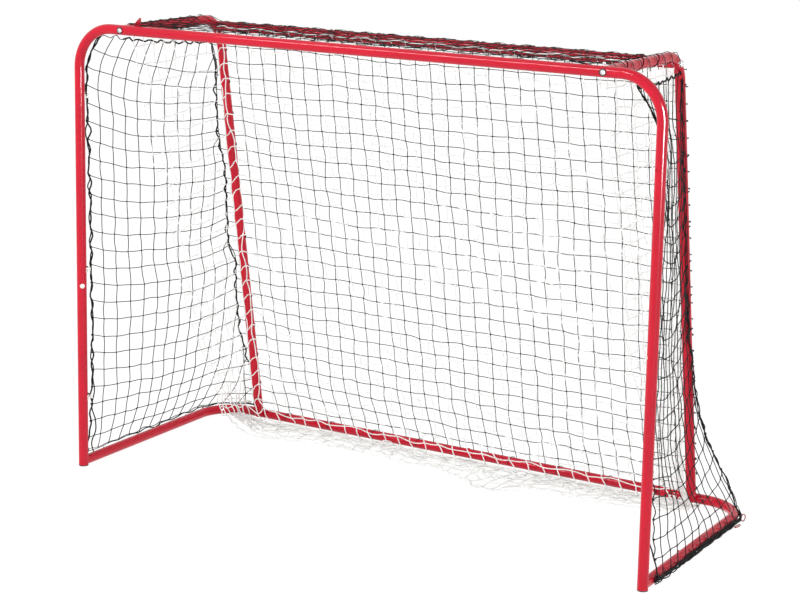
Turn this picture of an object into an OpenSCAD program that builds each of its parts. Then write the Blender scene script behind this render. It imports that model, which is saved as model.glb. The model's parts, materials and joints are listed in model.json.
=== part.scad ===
// Street hockey goal: plug-together steel tube frame with laced cord nets.
// Right-hand pieces are drawn first and the left-hand ones are their mirror images.
// Lengths along Y inside the modules are counted from the goal line, where the posts stand.

/* [Goal] */
// Width over the outside of the two posts
goal_width = 1600; // [1500:10:1700]
// Height to the top of the crossbar
goal_height = 1150; // [1100:10:1250]
// Depth of the base, from the posts' axis to the rear bar's axis
base_depth = 615; // [570:5:680]
// Depth of the roof, from the crossbar's axis to where roof tube and upright would cross
roof_depth = 400; // [350:5:440]
// Distance from the middle to each roof tube and upright
upright_x = 650; // [600:5:670]
// Distance from the rear bar's axis forward to the uprights' feet, which are coped to stand on the bar
foot_inset = 14.6; // [10:0.1:16]

/* [Tube] */
// Outside diameter of every frame tube
tube_d = 25; // [22:1:30]
// Wall thickness of the frame tube
tube_wall = 1.5; // [1.2:0.1:2]
// Centreline radius of the bends between crossbar and posts
front_bend_r = 100; // [80:5:120]
// Centreline radius of the bends at the rear of the base
base_bend_r = 100; // [80:5:120]
// Centreline radius of the bends between roof tubes and uprights
roof_bend_r = 75; // [65:5:85]

/* [Plug joints] */
// Distance from the top of the goal down to the joint in each post
upper_joint_drop = 225; // [200:5:300]
// Height of the joint between each foot and its post
lower_joint_z = 203; // [160:1:300]
// Distance from the goal line to the joint in each side of the base
base_joint_y = 203; // [160:1:300]
// Distance from the top of the goal down to the joint in each upright
upright_joint_drop = 156; // [150:1:250]
// Length of the swaged end that plugs into the next tube
spigot_length = 50; // [45:1:60]
// Wall of the swaged end
spigot_wall = 1.2; // [1:0.1:1.4]
// Radial clearance between a swaged end and the tube around it
spigot_gap = 0.1; // [0.05:0.05:0.2]

/* [Snap buttons] */
// Diameter of a snap button
button_d = 7; // [6:0.5:8]
// Radial clearance between a button and its hole
button_gap = 0.3; // [0.2:0.05:0.4]
// Distance from the seam of a joint to its button
button_from_seam = 14; // [12:1:18]
// Height of a button over the tube's surface
button_rise = 2.5; // [2:0.1:3]
// Width of the spring strip that carries the button
strip_w = 8; // [7:0.5:9]
// Thickness of the spring strip
strip_t = 0.8; // [0.6:0.1:0.9]

/* [Fastenings] */
// Diameter of the bolts that hold the roof
bolt_d = 6; // [5:1:6]
// Diameter of the bolt heads
bolt_head_d = 12; // [10:0.5:13]
// Height of the domed bolt heads
bolt_head_h = 3.6; // [3:0.1:4]
// Thickness of the saddle washers at the middle of the head
washer_t = 1.6; // [1:0.1:2]
// Height of the plug in the left post
plug_z_left = 478; // [300:1:800]
// Height of the plug in the right post
plug_z_right = 529; // [300:1:800]
// Diameter of the domed plugs in the posts
plug_d = 12; // [10:0.5:13]
// Turn of the plug in the left post from the field towards the other post, in degrees
plug_angle_left = 45; // [0:1:90]
// Turn of the plug in the right post from the field towards the other post, in degrees
plug_angle_right = 64; // [0:1:90]

/* [Nets] */
// Thickness and width of the cords in the nets
net_cord = 3; // [2:0.5:4]
// Clear distance between a net and the tube it is laced to
net_gap = 0.5; // [0.4:0.1:1]
// Number of meshes across the rear net
back_columns = 12; // [8:1:14]
// Number of meshes up the rear net
back_rows = 9; // [6:1:12]
// Number of meshes along the roof net, from front to rear
roof_rows = 3; // [2:1:4]
// Number of flat strips up each curved side net
side_rows = 10; // [8:1:12]
// Width of one lozenge of the drop net
drop_mesh_w = 140; // [120:10:180]
// Height of one lozenge of the drop net
drop_mesh_h = 200; // [180:10:240]
// Diameter of the lacing cord round posts and uprights
lacing_d = 5; // [4:0.5:5]
// Distance between the ties along the rear bars
tie_pitch = 140; // [100:10:180]
// How far the spare length of the drop net reaches in front of the rear bar
heap_depth = 125; // [80:5:150]

/* [Hidden] */

$fn = 64;
tube_r = tube_d / 2;
bore_r = tube_r - tube_wall;
over = 1;
fit_gap = 0.1;
cope_gap = 0.2;

// Places of the frame's axes
post_x = goal_width / 2 - tube_r;
bar_z = goal_height - tube_r;
base_z = tube_r;
front_bend_x = post_x - front_bend_r;
front_bend_z = bar_z - front_bend_r;
base_bend_x = post_x - base_bend_r;
base_bend_y = base_depth - base_bend_r;
upper_joint_z = goal_height - upper_joint_drop;
upright_joint_z = goal_height - upright_joint_drop;
lean = round(100 * atan((base_depth - foot_inset - roof_depth) / (bar_z - base_z))) / 100;
function upright_y(z) = roof_depth + (bar_z - z) * tan(lean);
foot_y = upright_y(base_z);
roof_bend_y = roof_depth - roof_bend_r * tan((90 - lean) / 2);
roof_bend_z = bar_z - roof_bend_r;
top_bar_angle = (90 + lean) / 2;
top_bar_y = roof_bend_y + roof_bend_r * cos(top_bar_angle);
top_bar_z = roof_bend_z + roof_bend_r * sin(top_bar_angle);

// Both halves of a bar are cut to one length, so the seam lies half a spigot off the middle
half_seam_x = spigot_length / 2;

// Foot caps
cap_t = 2.5;
cap_plug_h = 12;
cap_wall = 2.4;

// Welds and copes: a welded tube is a hair thinner, and an upright's stub stands in the rear bar
weld_step = 0.05;
stub_bury = 4;
stub_length = 48;
upright_foot_z = 8;
foot_cut_z = 6;

// Swaged ends
spigot_r = bore_r - spigot_gap;
spigot_bore_r = spigot_r - spigot_wall;
neck_length = 8;
neck_bite = 0.4;
lead_in = 3;
lead_in_r = spigot_r - 0.7;
bolt_gap = 0.3;

// Snap buttons and their springs
flange_d = button_d + 2;
flange_t = 1;
flange_z = 7.2;
strip_far = -8.5;
strip_tail = 20;
strip_bend = -8;

// Each joint: name, place of the seam's centre, turn that points +Z along the spigot, button's angle
JOINTS = [
    ["upper_left", [-post_x, 0, upper_joint_z], [0, 0, 0], -65],
    ["upper_right", [post_x, 0, upper_joint_z], [0, 0, 0], -115],
    ["lower_left", [-post_x, 0, lower_joint_z], [0, 0, 0], 90],
    ["lower_right", [post_x, 0, lower_joint_z], [0, 0, 0], 90],
    ["base_left", [-post_x, base_joint_y, base_z], [-90, 0, 0], -45],
    ["base_right", [post_x, base_joint_y, base_z], [-90, 0, 0], -135],
    ["upright_left", [-upright_x, upright_y(upright_joint_z), upright_joint_z], [lean, 0, 0], -90],
    ["upright_right", [upright_x, upright_y(upright_joint_z), upright_joint_z], [lean, 0, 0], -90],
    ["crossbar", [half_seam_x, 0, bar_z], [0, -90, 0], 90],
    ["rear_bar", [half_seam_x, base_depth, base_z], [0, -90, 0], 0],
    ["top_bar", [half_seam_x, top_bar_y, top_bar_z], [0, -90, 0], 180]
];
function joint(name) = [for (j = JOINTS) if (j[0] == name) j][0];

// Fastenings
bolt_r = bolt_d / 2;
bolt_hole_r = bolt_r + bolt_gap;
washer_r = 8;
insert_length = 22;
bolt_grip = tube_r + insert_length - 2;
socket_af = 4;
socket_depth = 2;
hook_heights = [961, 517, 182];
hook_angle = 125;
hook_stem_r = 2;
plug_stem_r = 4;

// Cords and ties
tie_r = 1.5;
tie_slack = 0.6;
tie_ring_r = tube_r + tie_slack + tie_r;
cord_gap = 0.3;
ties_per_half = floor((upright_x - 2 * tube_d) / tie_pitch);
rear_ties = [for (k = [-ties_per_half:ties_per_half]) if (k != 0) k * tie_pitch];
side_ties = [90, 235, 330, 450];
lacing_r = lacing_d / 2;
roof_lacing_r = 2;
front_reach = tube_r + washer_t + bolt_head_h;
rear_reach = base_depth + tie_ring_r + tie_r;
goal_line_y = (front_reach - rear_reach) / 2;

// Nets
net_t = net_cord;
strand = net_cord + 1;
roof_tilt = atan((bar_z - top_bar_z) / top_bar_y);
roof_net_rise = tube_r + cord_gap;
roof_net_inset = 10;
inner_net_x = upright_x - tube_r - net_gap;
roof_net_x = upright_x - tube_r - 6;
back_net_low = 20;
back_net_high = top_bar_z;
drop_plane = 21;
hem_h = 5;
drop_net_low = hem_h + cord_gap + (drop_plane + net_t / 2) * sin(lean);
drop_net_high = top_bar_z - tie_ring_r - tie_r - cord_gap + (drop_plane - net_t / 2) * sin(lean);
drop_net_x = upright_x - 10;
side_columns = 6;
side_bottom_z = 16;
side_bottom_x = post_x + tie_ring_r + tie_r + 0.8 + net_t / 2;
side_corner_r = base_bend_r + tube_r + 5.5;
side_top_z = bar_z - 43;
side_top_x = upright_x + 19;
side_rear_x = upright_x + 27;
side_front_y = 31;
leave_z = 440;

red = [0.80, 0.09, 0.13];
black = [0.06, 0.06, 0.07];
white = [0.92, 0.92, 0.90];
steel = [0.72, 0.73, 0.75];

// ---------------------------------------------------------------- helpers

module at_goal_line() {
    translate([0, goal_line_y, 0]) children();
}

module both_sides() {
    children();
    mirror([1, 0, 0]) children();
}

module at_joint(name) {
    j = joint(name);
    translate(j[1]) rotate(j[2]) rotate([0, 0, j[3]]) children();
}

// Round rods from a point along +X, +Y and +Z
module rod_x(from, r, length) {
    translate(from) rotate([0, 90, 0]) cylinder(r = r, h = length);
}

module rod_y(from, r, length) {
    translate(from) rotate([-90, 0, 0]) cylinder(r = r, h = length);
}

module rod_z(from, r, length) {
    translate(from) cylinder(r = r, h = length);
}

// Quarter or smaller bend of a round rod, from angle first to angle last in the XY plane
module rod_bend(bend_r, r, first, last) {
    rotate_extrude(start = first, angle = last - first, $fn = 96)
        translate([bend_r, 0]) circle(r = r, $fn = 64);
}

// Radial hole for a snap button
module button_hole(name) {
    at_joint(name) translate([tube_r / 2, 0, button_from_seam]) rotate([0, 90, 0])
        cylinder(r = button_d / 2 + button_gap, h = tube_r);
}

// Swaged end: a neck inside the parent tube, then the reduced tube with a lead-in at its tip
module spigot(name) {
    at_joint(name) difference() {
        union() {
            translate([0, 0, -neck_length]) cylinder(r = bore_r + neck_bite, h = neck_length);
            cylinder(r = spigot_r, h = spigot_length - lead_in);
            translate([0, 0, spigot_length - lead_in]) cylinder(r1 = spigot_r, r2 = lead_in_r, h = lead_in);
        }
        rod_z([0, 0, -neck_length - over], spigot_bore_r, neck_length + spigot_length + 2 * over);
    }
}

// Smooth round cord along a list of points, with a flat cap at each end
function unit(v) = v / norm(v);
function along(path, i) = unit(path[min(i + 1, len(path) - 1)] - path[max(i - 1, 0)]);
function any_side(v) = abs(v[2]) > 0.8 ? [1, 0, 0] : [0, 0, 1];
function first_normal(path) = unit(cross(along(path, 0), any_side(along(path, 0))));
function next_normal(n, t) = unit(n - (n * t) * t);
function normals(path) = [for (i = 0, n = first_normal(path); i < len(path);
    i = i + 1, n = i < len(path) ? next_normal(n, along(path, i)) : n) n];
module cord(path, r, sides = 8) {
    side_normals = normals(path);
    rings = [for (i = [0:len(path) - 1], k = [0:sides - 1])
        let (t = along(path, i), n = side_normals[i], b = cross(t, n), a = 360 * k / sides)
        path[i] + r * (cos(a) * n + sin(a) * b)];
    last = (len(path) - 1) * sides;
    walls = [for (i = [0:len(path) - 2], k = [0:sides - 1])
        let (a = i * sides + k, b = i * sides + (k + 1) % sides) [a, a + sides, b + sides, b]];
    start_cap = [[for (k = [0:sides - 1]) k]];
    end_cap = [[for (k = [sides - 1:-1:0]) last + k]];
    polyhedron(points = rings, faces = concat(walls, start_cap, end_cap));
}

// ---------------------------------------------------------------- frame rods

// Half of the crossbar with its bend and the top of the post
module crossbar_rod(r, inner_end, extra = 0) {
    rod_x([inner_end - extra, 0, bar_z], r, front_bend_x - inner_end + extra);
    translate([front_bend_x, 0, front_bend_z]) rotate([90, 0, 0]) rod_bend(front_bend_r, r, 0, 90);
    rod_z([post_x, 0, upper_joint_z - extra], r, front_bend_z - upper_joint_z + extra);
}

// Side of the base with its bend and half of the rear bar
module base_rod(r, inner_end, extra = 0) {
    rod_y([post_x, base_joint_y - extra, base_z], r, base_bend_y - base_joint_y + extra);
    translate([base_bend_x, base_bend_y, base_z]) rod_bend(base_bend_r, r, 0, 90);
    rod_x([inner_end - extra, base_depth, base_z], r, base_bend_x - inner_end + extra);
}

// Roof tube with its bend and the short leg above the upright, whose end is swaged a hair down
module roof_rod(r, extra = 0) {
    bite = 2;
    leg = (roof_bend_z + roof_bend_r * sin(lean) - upright_joint_z) / cos(lean);
    rod_y([upright_x, -extra, bar_z], r, roof_bend_y + extra);
    translate([upright_x, roof_bend_y, roof_bend_z]) rotate([90, 0, 90]) {
        rod_bend(roof_bend_r, r, lean, 90);
        rotate([0, 0, lean]) translate([roof_bend_r, bite, 0]) rotate([90, 0, 0])
            cylinder(r = r - weld_step, h = bite + leg + extra);
    }
}

// Upright's axis as a rod from the rear bar to a height along it
module upright_rod(r, low, length) {
    translate([upright_x, upright_y(low), low]) rotate([lean, 0, 0]) cylinder(r = r, h = length);
}

module crossbar_half(inner_end) {
    difference() {
        crossbar_rod(tube_r, inner_end);
        crossbar_rod(bore_r, inner_end, over);
        rod_y([upright_x, -tube_r - over, bar_z], bolt_hole_r, tube_d + 2 * over);
    }
}

module base_half(inner_end) {
    stub_start = base_z - stub_bury;
    difference() {
        union() {
            base_rod(tube_r, inner_end);
            difference() {
                upright_rod(spigot_r, stub_start, stub_length);
                upright_rod(spigot_bore_r, stub_start - tube_d, stub_length + 2 * tube_d);
            }
        }
        base_rod(bore_r, inner_end, over);
    }
}

// Foot of a post with the base stub welded to its rear, a hair thinner so that the weld line is a clean curve
module foot_tube() {
    difference() {
        union() {
            rod_z([post_x, 0, cap_t], tube_r, lower_joint_z - cap_t);
            difference() {
                rod_y([post_x, 0, base_z], tube_r - weld_step, base_joint_y);
                rod_y([post_x, 0, base_z], bore_r, base_joint_y + over);
            }
        }
        rod_z([post_x, 0, cap_t - over], bore_r, lower_joint_z - cap_t + 2 * over);
        below_ground();
    }
}

// Everything under the bottom of the post, so that the base tube only rests beside the cap
module below_ground() {
    rod_z([post_x, 0, -tube_d], tube_r + fit_gap, tube_d + cap_t);
}

module corner_seven() {
    difference() {
        roof_rod(tube_r);
        roof_rod(bore_r, over);
        crossbar_rod(tube_r + cope_gap, 0);
        top_bar_bolt_hole(bolt_hole_r);
    }
}

// Bolt line through the roof bend along X
module top_bar_bolt_hole(r) {
    rod_x([upright_x - 2 * tube_d, top_bar_y, top_bar_z], r, 4 * tube_d);
}

module upright_tube() {
    full_length = (upright_joint_z - foot_cut_z) / cos(lean);
    difference() {
        upright_rod(tube_r, foot_cut_z, full_length);
        upright_rod(bore_r, 0, full_length + tube_d);
        base_rod(tube_r + cope_gap, 0);
        translate([upright_x - tube_d, foot_y - 2 * tube_d, 0])
            cube([2 * tube_d, 4 * tube_d, upright_foot_z]);
    }
}

// Room that the roof bend takes, with a clearance round it
module around_roof_bend(gap) {
    translate([upright_x, roof_bend_y, roof_bend_z]) rotate([90, 0, 90])
        rod_bend(roof_bend_r, tube_r + gap, lean - 5, 95);
}

module top_bar_half(inner_end) {
    difference() {
        rod_x([inner_end, top_bar_y, top_bar_z], tube_r, upright_x - inner_end);
        rod_x([inner_end - over, top_bar_y, top_bar_z], bore_r, upright_x - inner_end + 2 * over);
        around_roof_bend(cope_gap);
    }
}

// ---------------------------------------------------------------- frame nodes

module crossbar_left() {
    color(red) at_goal_line() difference() {
        mirror([1, 0, 0]) crossbar_half(-half_seam_x);
        button_hole("crossbar");
        button_hole("upper_left");
        hook_holes(-1, upper_joint_z, goal_height);
    }
}

module crossbar_right() {
    color(red) at_goal_line() difference() {
        union() {
            crossbar_half(half_seam_x);
            spigot("crossbar");
        }
        button_hole("crossbar");
        button_hole("upper_right");
        hook_holes(1, upper_joint_z, goal_height);
    }
}

module post(side, name, plug_height) {
    length = upper_joint_z - lower_joint_z;
    difference() {
        union() {
            difference() {
                rod_z([side * post_x, 0, lower_joint_z], tube_r, length);
                rod_z([side * post_x, 0, lower_joint_z - over], bore_r, length + 2 * over);
            }
            spigot(str("upper_", name));
        }
        button_hole(str("upper_", name));
        button_hole(str("lower_", name));
        plug_at(side, plug_height) rod_z([0, 0, bore_r - over], plug_stem_r + fit_gap, tube_wall + 2 * over);
        hook_holes(side, lower_joint_z, upper_joint_z);
    }
}

module post_left() {
    color(red) at_goal_line() post(-1, "left", plug_z_left);
}

module post_right() {
    color(red) at_goal_line() post(1, "right", plug_z_right);
}

module foot(side, name) {
    difference() {
        union() {
            mirror([side < 0 ? 1 : 0, 0, 0]) foot_tube();
            spigot(str("lower_", name));
            spigot(str("base_", name));
        }
        button_hole(str("lower_", name));
        button_hole(str("base_", name));
        hook_holes(side, 0, lower_joint_z);
    }
}

module foot_left() {
    color(red) at_goal_line() foot(-1, "left");
}

module foot_right() {
    color(red) at_goal_line() foot(1, "right");
}

module base_corner_left() {
    color(red) at_goal_line() difference() {
        mirror([1, 0, 0]) base_half(-half_seam_x);
        button_hole("rear_bar");
        button_hole("base_left");
    }
}

module base_corner_right() {
    color(red) at_goal_line() difference() {
        union() {
            base_half(half_seam_x);
            spigot("rear_bar");
        }
        button_hole("rear_bar");
        button_hole("base_right");
    }
}

module top_corner_left() {
    color(red) at_goal_line() difference() {
        mirror([1, 0, 0]) corner_seven();
        button_hole("upright_left");
    }
}

module top_corner_right() {
    color(red) at_goal_line() difference() {
        corner_seven();
        button_hole("upright_right");
    }
}

module upright_left() {
    color(red) at_goal_line() difference() {
        union() {
            mirror([1, 0, 0]) upright_tube();
            spigot("upright_left");
        }
        button_hole("upright_left");
    }
}

module upright_right() {
    color(red) at_goal_line() difference() {
        union() {
            upright_tube();
            spigot("upright_right");
        }
        button_hole("upright_right");
    }
}

module top_bar_left() {
    color(red) at_goal_line() difference() {
        mirror([1, 0, 0]) top_bar_half(-half_seam_x);
        button_hole("top_bar");
    }
}

module top_bar_right() {
    color(red) at_goal_line() difference() {
        union() {
            top_bar_half(half_seam_x);
            spigot("top_bar");
        }
        button_hole("top_bar");
    }
}

// ---------------------------------------------------------------- snap buttons

// Domed button with a flange that stops it inside the spigot
module snap_button(name) {
    dome_r = 6;
    rise_r = tube_r + button_rise;
    color(red) at_goal_line() at_joint(name) translate([0, 0, button_from_seam]) rotate([0, 90, 0]) {
        translate([0, 0, flange_z]) cylinder(d = flange_d, h = flange_t);
        intersection() {
            translate([0, 0, flange_z + flange_t / 2]) cylinder(d = button_d, h = rise_r);
            translate([0, 0, rise_r - dome_r]) sphere(r = dome_r);
        }
        translate([0, 0, flange_z + flange_t / 2]) cylinder(d = button_d, h = rise_r - dome_r - flange_z);
    }
}

module button_upper_left() {
    snap_button("upper_left");
}

module button_upper_right() {
    snap_button("upper_right");
}

module button_lower_left() {
    snap_button("lower_left");
}

module button_lower_right() {
    snap_button("lower_right");
}

module button_base_left() {
    snap_button("base_left");
}

module button_base_right() {
    snap_button("base_right");
}

module button_upright_left() {
    snap_button("upright_left");
}

module button_upright_right() {
    snap_button("upright_right");
}

module button_crossbar() {
    snap_button("crossbar");
}

module button_rear_bar() {
    snap_button("rear_bar");
}

module button_top_bar() {
    snap_button("top_bar");
}

// U-shaped strip: one leg under the button, one leg against the far wall of the spigot
module spring_clip() {
    near_leg = flange_z - strip_t;
    bend_r = (flange_z - strip_far) / 2;
    middle = (flange_z + strip_far) / 2;
    leg = strip_tail - strip_bend;
    rotate([90, 0, 0]) translate([0, 0, -strip_w / 2]) linear_extrude(strip_w) {
        translate([near_leg, strip_bend]) square([strip_t, leg]);
        translate([strip_far, strip_bend]) square([strip_t, leg]);
        translate([middle, strip_bend]) difference() {
            circle(r = bend_r);
            circle(r = bend_r - strip_t);
            translate([-bend_r - over, 0]) square([2 * bend_r + 2 * over, bend_r + over]);
        }
    }
}

module spring_clips() {
    color(steel) at_goal_line() for (j = JOINTS) at_joint(j[0]) spring_clip();
}

// ---------------------------------------------------------------- plugs, bolts and hooks

module foot_caps() {
    color(black) at_goal_line() both_sides() translate([post_x, 0, 0]) {
        cylinder(r = tube_r, h = cap_t);
        difference() {
            cylinder(r = bore_r - fit_gap, h = cap_t + cap_plug_h);
            rod_z([0, 0, cap_t], bore_r - fit_gap - cap_wall, cap_plug_h + over);
        }
    }
}

// Domed head, plain shank and hex socket; the head's seat is at z = 0 and the shank points to +Z
module bolt(shank) {
    head_r = bolt_head_d / 2;
    dome_r = (head_r * head_r + bolt_head_h * bolt_head_h) / (2 * bolt_head_h);
    difference() {
        union() {
            intersection() {
                translate([0, 0, dome_r - bolt_head_h]) sphere(r = dome_r);
                translate([0, 0, -bolt_head_h]) cylinder(r = head_r + over, h = bolt_head_h);
            }
            cylinder(r = bolt_r, h = shank);
        }
        translate([0, 0, -bolt_head_h - over])
            cylinder(d = socket_af / cos(30), h = socket_depth + over, $fn = 6);
    }
}

// Ring whose back is hollowed to sit on a round tube lying along X
module saddle_washer() {
    difference() {
        cylinder(r = washer_r, h = tube_r);
        rod_z([0, 0, -over], bolt_r + fit_gap, tube_r + 2 * over);
        rod_x([-tube_r, 0, washer_t + tube_r], tube_r + fit_gap, tube_d);
    }
}

module roof_bolts() {
    color(steel) at_goal_line() both_sides()
        translate([upright_x, -tube_r - washer_t, bar_z]) rotate([-90, 0, 0])
            bolt(washer_t + tube_r + bolt_grip);
}

module roof_washers() {
    color(black) at_goal_line() both_sides()
        translate([upright_x, -tube_r - washer_t, bar_z]) rotate([-90, 0, 0]) saddle_washer();
}

// Threaded plug in the front end of each roof tube
module roof_inserts() {
    color(steel) at_goal_line() both_sides() difference() {
        rod_y([upright_x, tube_r / 2, bar_z], bore_r - fit_gap, tube_r / 2 + insert_length);
        rod_y([upright_x, 0, bar_z], bolt_r + fit_gap, 2 * tube_d);
        rod_x([upright_x - tube_d, 0, bar_z], tube_r + cope_gap, 2 * tube_d);
    }
}

// Bolt along X through the roof bend into the end of the rear top bar
module top_bar_bolts() {
    color(steel) at_goal_line() both_sides()
        translate([upright_x + tube_r + washer_t, top_bar_y, top_bar_z]) rotate([0, -90, 0])
            bolt(washer_t + tube_r + bolt_grip);
}

module top_bar_inserts() {
    color(steel) at_goal_line() both_sides() {
        difference() {
            rod_x([upright_x - tube_r - insert_length, top_bar_y, top_bar_z],
                bore_r - fit_gap, insert_length + tube_r / 2);
            top_bar_bolt_hole(bolt_r + fit_gap);
            around_roof_bend(cope_gap);
        }
        difference() {
            rod_x([upright_x, top_bar_y, top_bar_z], washer_r, tube_r + washer_t);
            top_bar_bolt_hole(bolt_r + fit_gap);
            around_roof_bend(fit_gap);
        }
    }
}

// Radial direction out of a post: 0 faces the field, 90 faces the other post
module out_of_post(side, angle, z) {
    translate([side * post_x, 0, z]) rotate([0, 0, -90 - side * angle]) rotate([0, 90, 0]) children();
}

module plug_at(side, z) {
    out_of_post(side, side < 0 ? plug_angle_left : plug_angle_right, z) children();
}

module post_plug(side, z) {
    dome_r = 14;
    plug_top = tube_r + 2.4;
    color(white) at_goal_line() difference() {
        plug_at(side, z) {
            intersection() {
                translate([0, 0, tube_r - 3]) cylinder(d = plug_d, h = 6);
                translate([0, 0, plug_top - dome_r]) sphere(r = dome_r);
            }
        }
        rod_z([side * post_x, 0, z - plug_d], tube_r + fit_gap, 2 * plug_d);
    }
    color(white) at_goal_line() plug_at(side, z) rod_z([0, 0, bore_r - 2], plug_stem_r, tube_wall + 3);
}

module post_plug_left() {
    post_plug(-1, plug_z_left);
}

module post_plug_right() {
    post_plug(1, plug_z_right);
}

module hook_at(side, z) {
    out_of_post(side, hook_angle, z) children();
}

// Holes for the hooks that stand between two heights
module hook_holes(side, low, high) {
    for (z = hook_heights)
        if (z > low && z < high)
            hook_at(side, z) rod_z([0, 0, bore_r - over], hook_stem_r + fit_gap, tube_wall + 2 * over);
}

// Small J-hook on a curved pad, held by a stem through the wall of the post
module net_hook(side, z) {
    pad_w = 9;
    pad_h = 14;
    pad_top = tube_r + 3;
    arm = 4;
    reach = 7;
    difference() {
        hook_at(side, z) translate([-pad_h / 2, -pad_w / 2, tube_r - 3])
            cube([pad_h, pad_w, pad_top - tube_r + 3]);
        rod_z([side * post_x, 0, z - pad_h], tube_r + fit_gap, 2 * pad_h);
    }
    hook_at(side, z) {
        rod_z([0, 0, bore_r + fit_gap / 2], hook_stem_r, tube_wall + over);
        translate([-arm / 2, -arm / 2, pad_top - 1]) cube([arm, arm, reach + 1]);
        translate([-arm / 2 - 6, -arm / 2, pad_top + reach - arm]) cube([arm + 6, arm, arm]);
    }
}

module net_hooks_left() {
    color(white) at_goal_line() for (z = hook_heights) net_hook(-1, z);
}

module net_hooks_right() {
    color(white) at_goal_line() for (z = hook_heights) net_hook(1, z);
}

// ---------------------------------------------------------------- nets

// Flat sheet of square meshes from the origin
module mesh_sheet(width, height, columns, rows) {
    cell_w = (width - strand) / columns;
    cell_h = (height - strand) / rows;
    linear_extrude(net_t) difference() {
        square([width, height]);
        for (i = [0:columns - 1], k = [0:rows - 1])
            translate([strand + i * cell_w, strand + k * cell_h]) square([cell_w - strand, cell_h - strand]);
    }
}

// Lies over the crossbar and the rear top bar, and stops short of the ties round them
module roof_net() {
    span = norm([top_bar_y, bar_z - top_bar_z]) - 2 * roof_net_inset;
    color(black) at_goal_line() translate([0, 0, bar_z]) rotate([-roof_tilt, 0, 0])
        translate([-roof_net_x, roof_net_inset, roof_net_rise])
            mesh_sheet(2 * roof_net_x, span, back_columns, roof_rows);
}

// Frame of a sheet that leans with the uprights: X across, Y up the slope, Z towards the field
module on_uprights(low) {
    translate([0, upright_y(low), low]) rotate([90 + lean, 0, 0]) children();
}

module back_net() {
    slope = (back_net_high - back_net_low) / cos(lean);
    color(black) at_goal_line() on_uprights(back_net_low)
        translate([-inner_net_x, 0, -net_t / 2]) mesh_sheet(2 * inner_net_x, slope, back_columns, back_rows);
}

// Lozenge meshes cut from a sheet that hangs free in front of the rear net
module drop_net() {
    slope = (drop_net_high - drop_net_low) / cos(lean);
    half_w = drop_mesh_w / 2;
    half_h = drop_mesh_h / 2;
    inset = strand / 2 * norm([half_w, half_h]) / half_h;
    rows = ceil(slope / half_h);
    columns = ceil(drop_net_x / drop_mesh_w) + 1;
    color(white) at_goal_line() on_uprights(drop_net_low) translate([0, 0, drop_plane - net_t / 2])
        linear_extrude(net_t) difference() {
            translate([-drop_net_x, 0]) square([2 * drop_net_x, slope]);
            intersection() {
                translate([strand - drop_net_x, strand])
                    square([2 * (drop_net_x - strand), slope - 2 * strand]);
                for (k = [0:rows], i = [-columns:columns])
                    translate([(i + (k % 2) / 2) * drop_mesh_w, k * half_h])
                        lozenge(half_w - inset, half_h - inset * half_h / half_w);
            }
        }
}

module lozenge(half_w, half_h) {
    polygon([[-half_w, 0], [0, -half_h], [half_w, 0], [0, half_h]]);
}

// Spare length of the drop net, heaped on the ground in front of the rear bar
module drop_net_hem() {
    back_edge = base_depth - tube_r + 2;
    half = upright_x + 30;
    steps = 34;
    function front_edge(x) =
        base_depth - heap_depth * (1 + 0.24 * sin(x * 0.36 + 40) + 0.144 * sin(x * 0.9));
    function taper(x) = min(1, (half - abs(x)) / 90);
    front = [for (i = [0:steps]) let (x = -half + 2 * half * i / steps)
        [x, back_edge - 12 - (back_edge - 12 - front_edge(x)) * sqrt(taper(x))]];
    color(white) at_goal_line() linear_extrude(hem_h)
        polygon(concat(front, [[half, back_edge], [-half, back_edge]]));
}

// Corner points of the side net: columns run from the post to the rear, strips from bottom to top
function side_bottom(i) =
    i <= side_columns - 2
        ? [side_bottom_x, side_front_y + (base_bend_y - side_front_y) * i / (side_columns - 2), side_bottom_z]
        : let (a = 22.5 * (i - side_columns + 2), r = side_corner_r + (i == side_columns - 1 ? 0 : 1))
            [base_bend_x + r * cos(a), base_bend_y + side_corner_r * sin(a), side_bottom_z];
function side_front(z) =
    let (t = max(0, (z - front_bend_z) / (side_top_z - front_bend_z)))
    [post_x + 3 + (side_top_x - post_x - 3) * t, side_front_y, z];
function side_rear(z) =
    let (t = max(0, (leave_z - z) / leave_z), corner = side_bottom(side_columns))
    [side_rear_x + (corner[0] - side_rear_x) * pow(t, 1.5),
        upright_y(max(z, leave_z)) + (corner[1] - upright_y(leave_z)) * t, z];
function side_z(j) = j == side_rows
    ? side_top_z : side_bottom_z + (front_bend_z - side_bottom_z) * j / (side_rows - 1);
function side_point(i, j) =
    let (u = i / side_columns, z = side_z(j))
    j == 0 ? side_bottom(i) : side_front(z) + u * (side_rear(z) - side_front(z));

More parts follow.
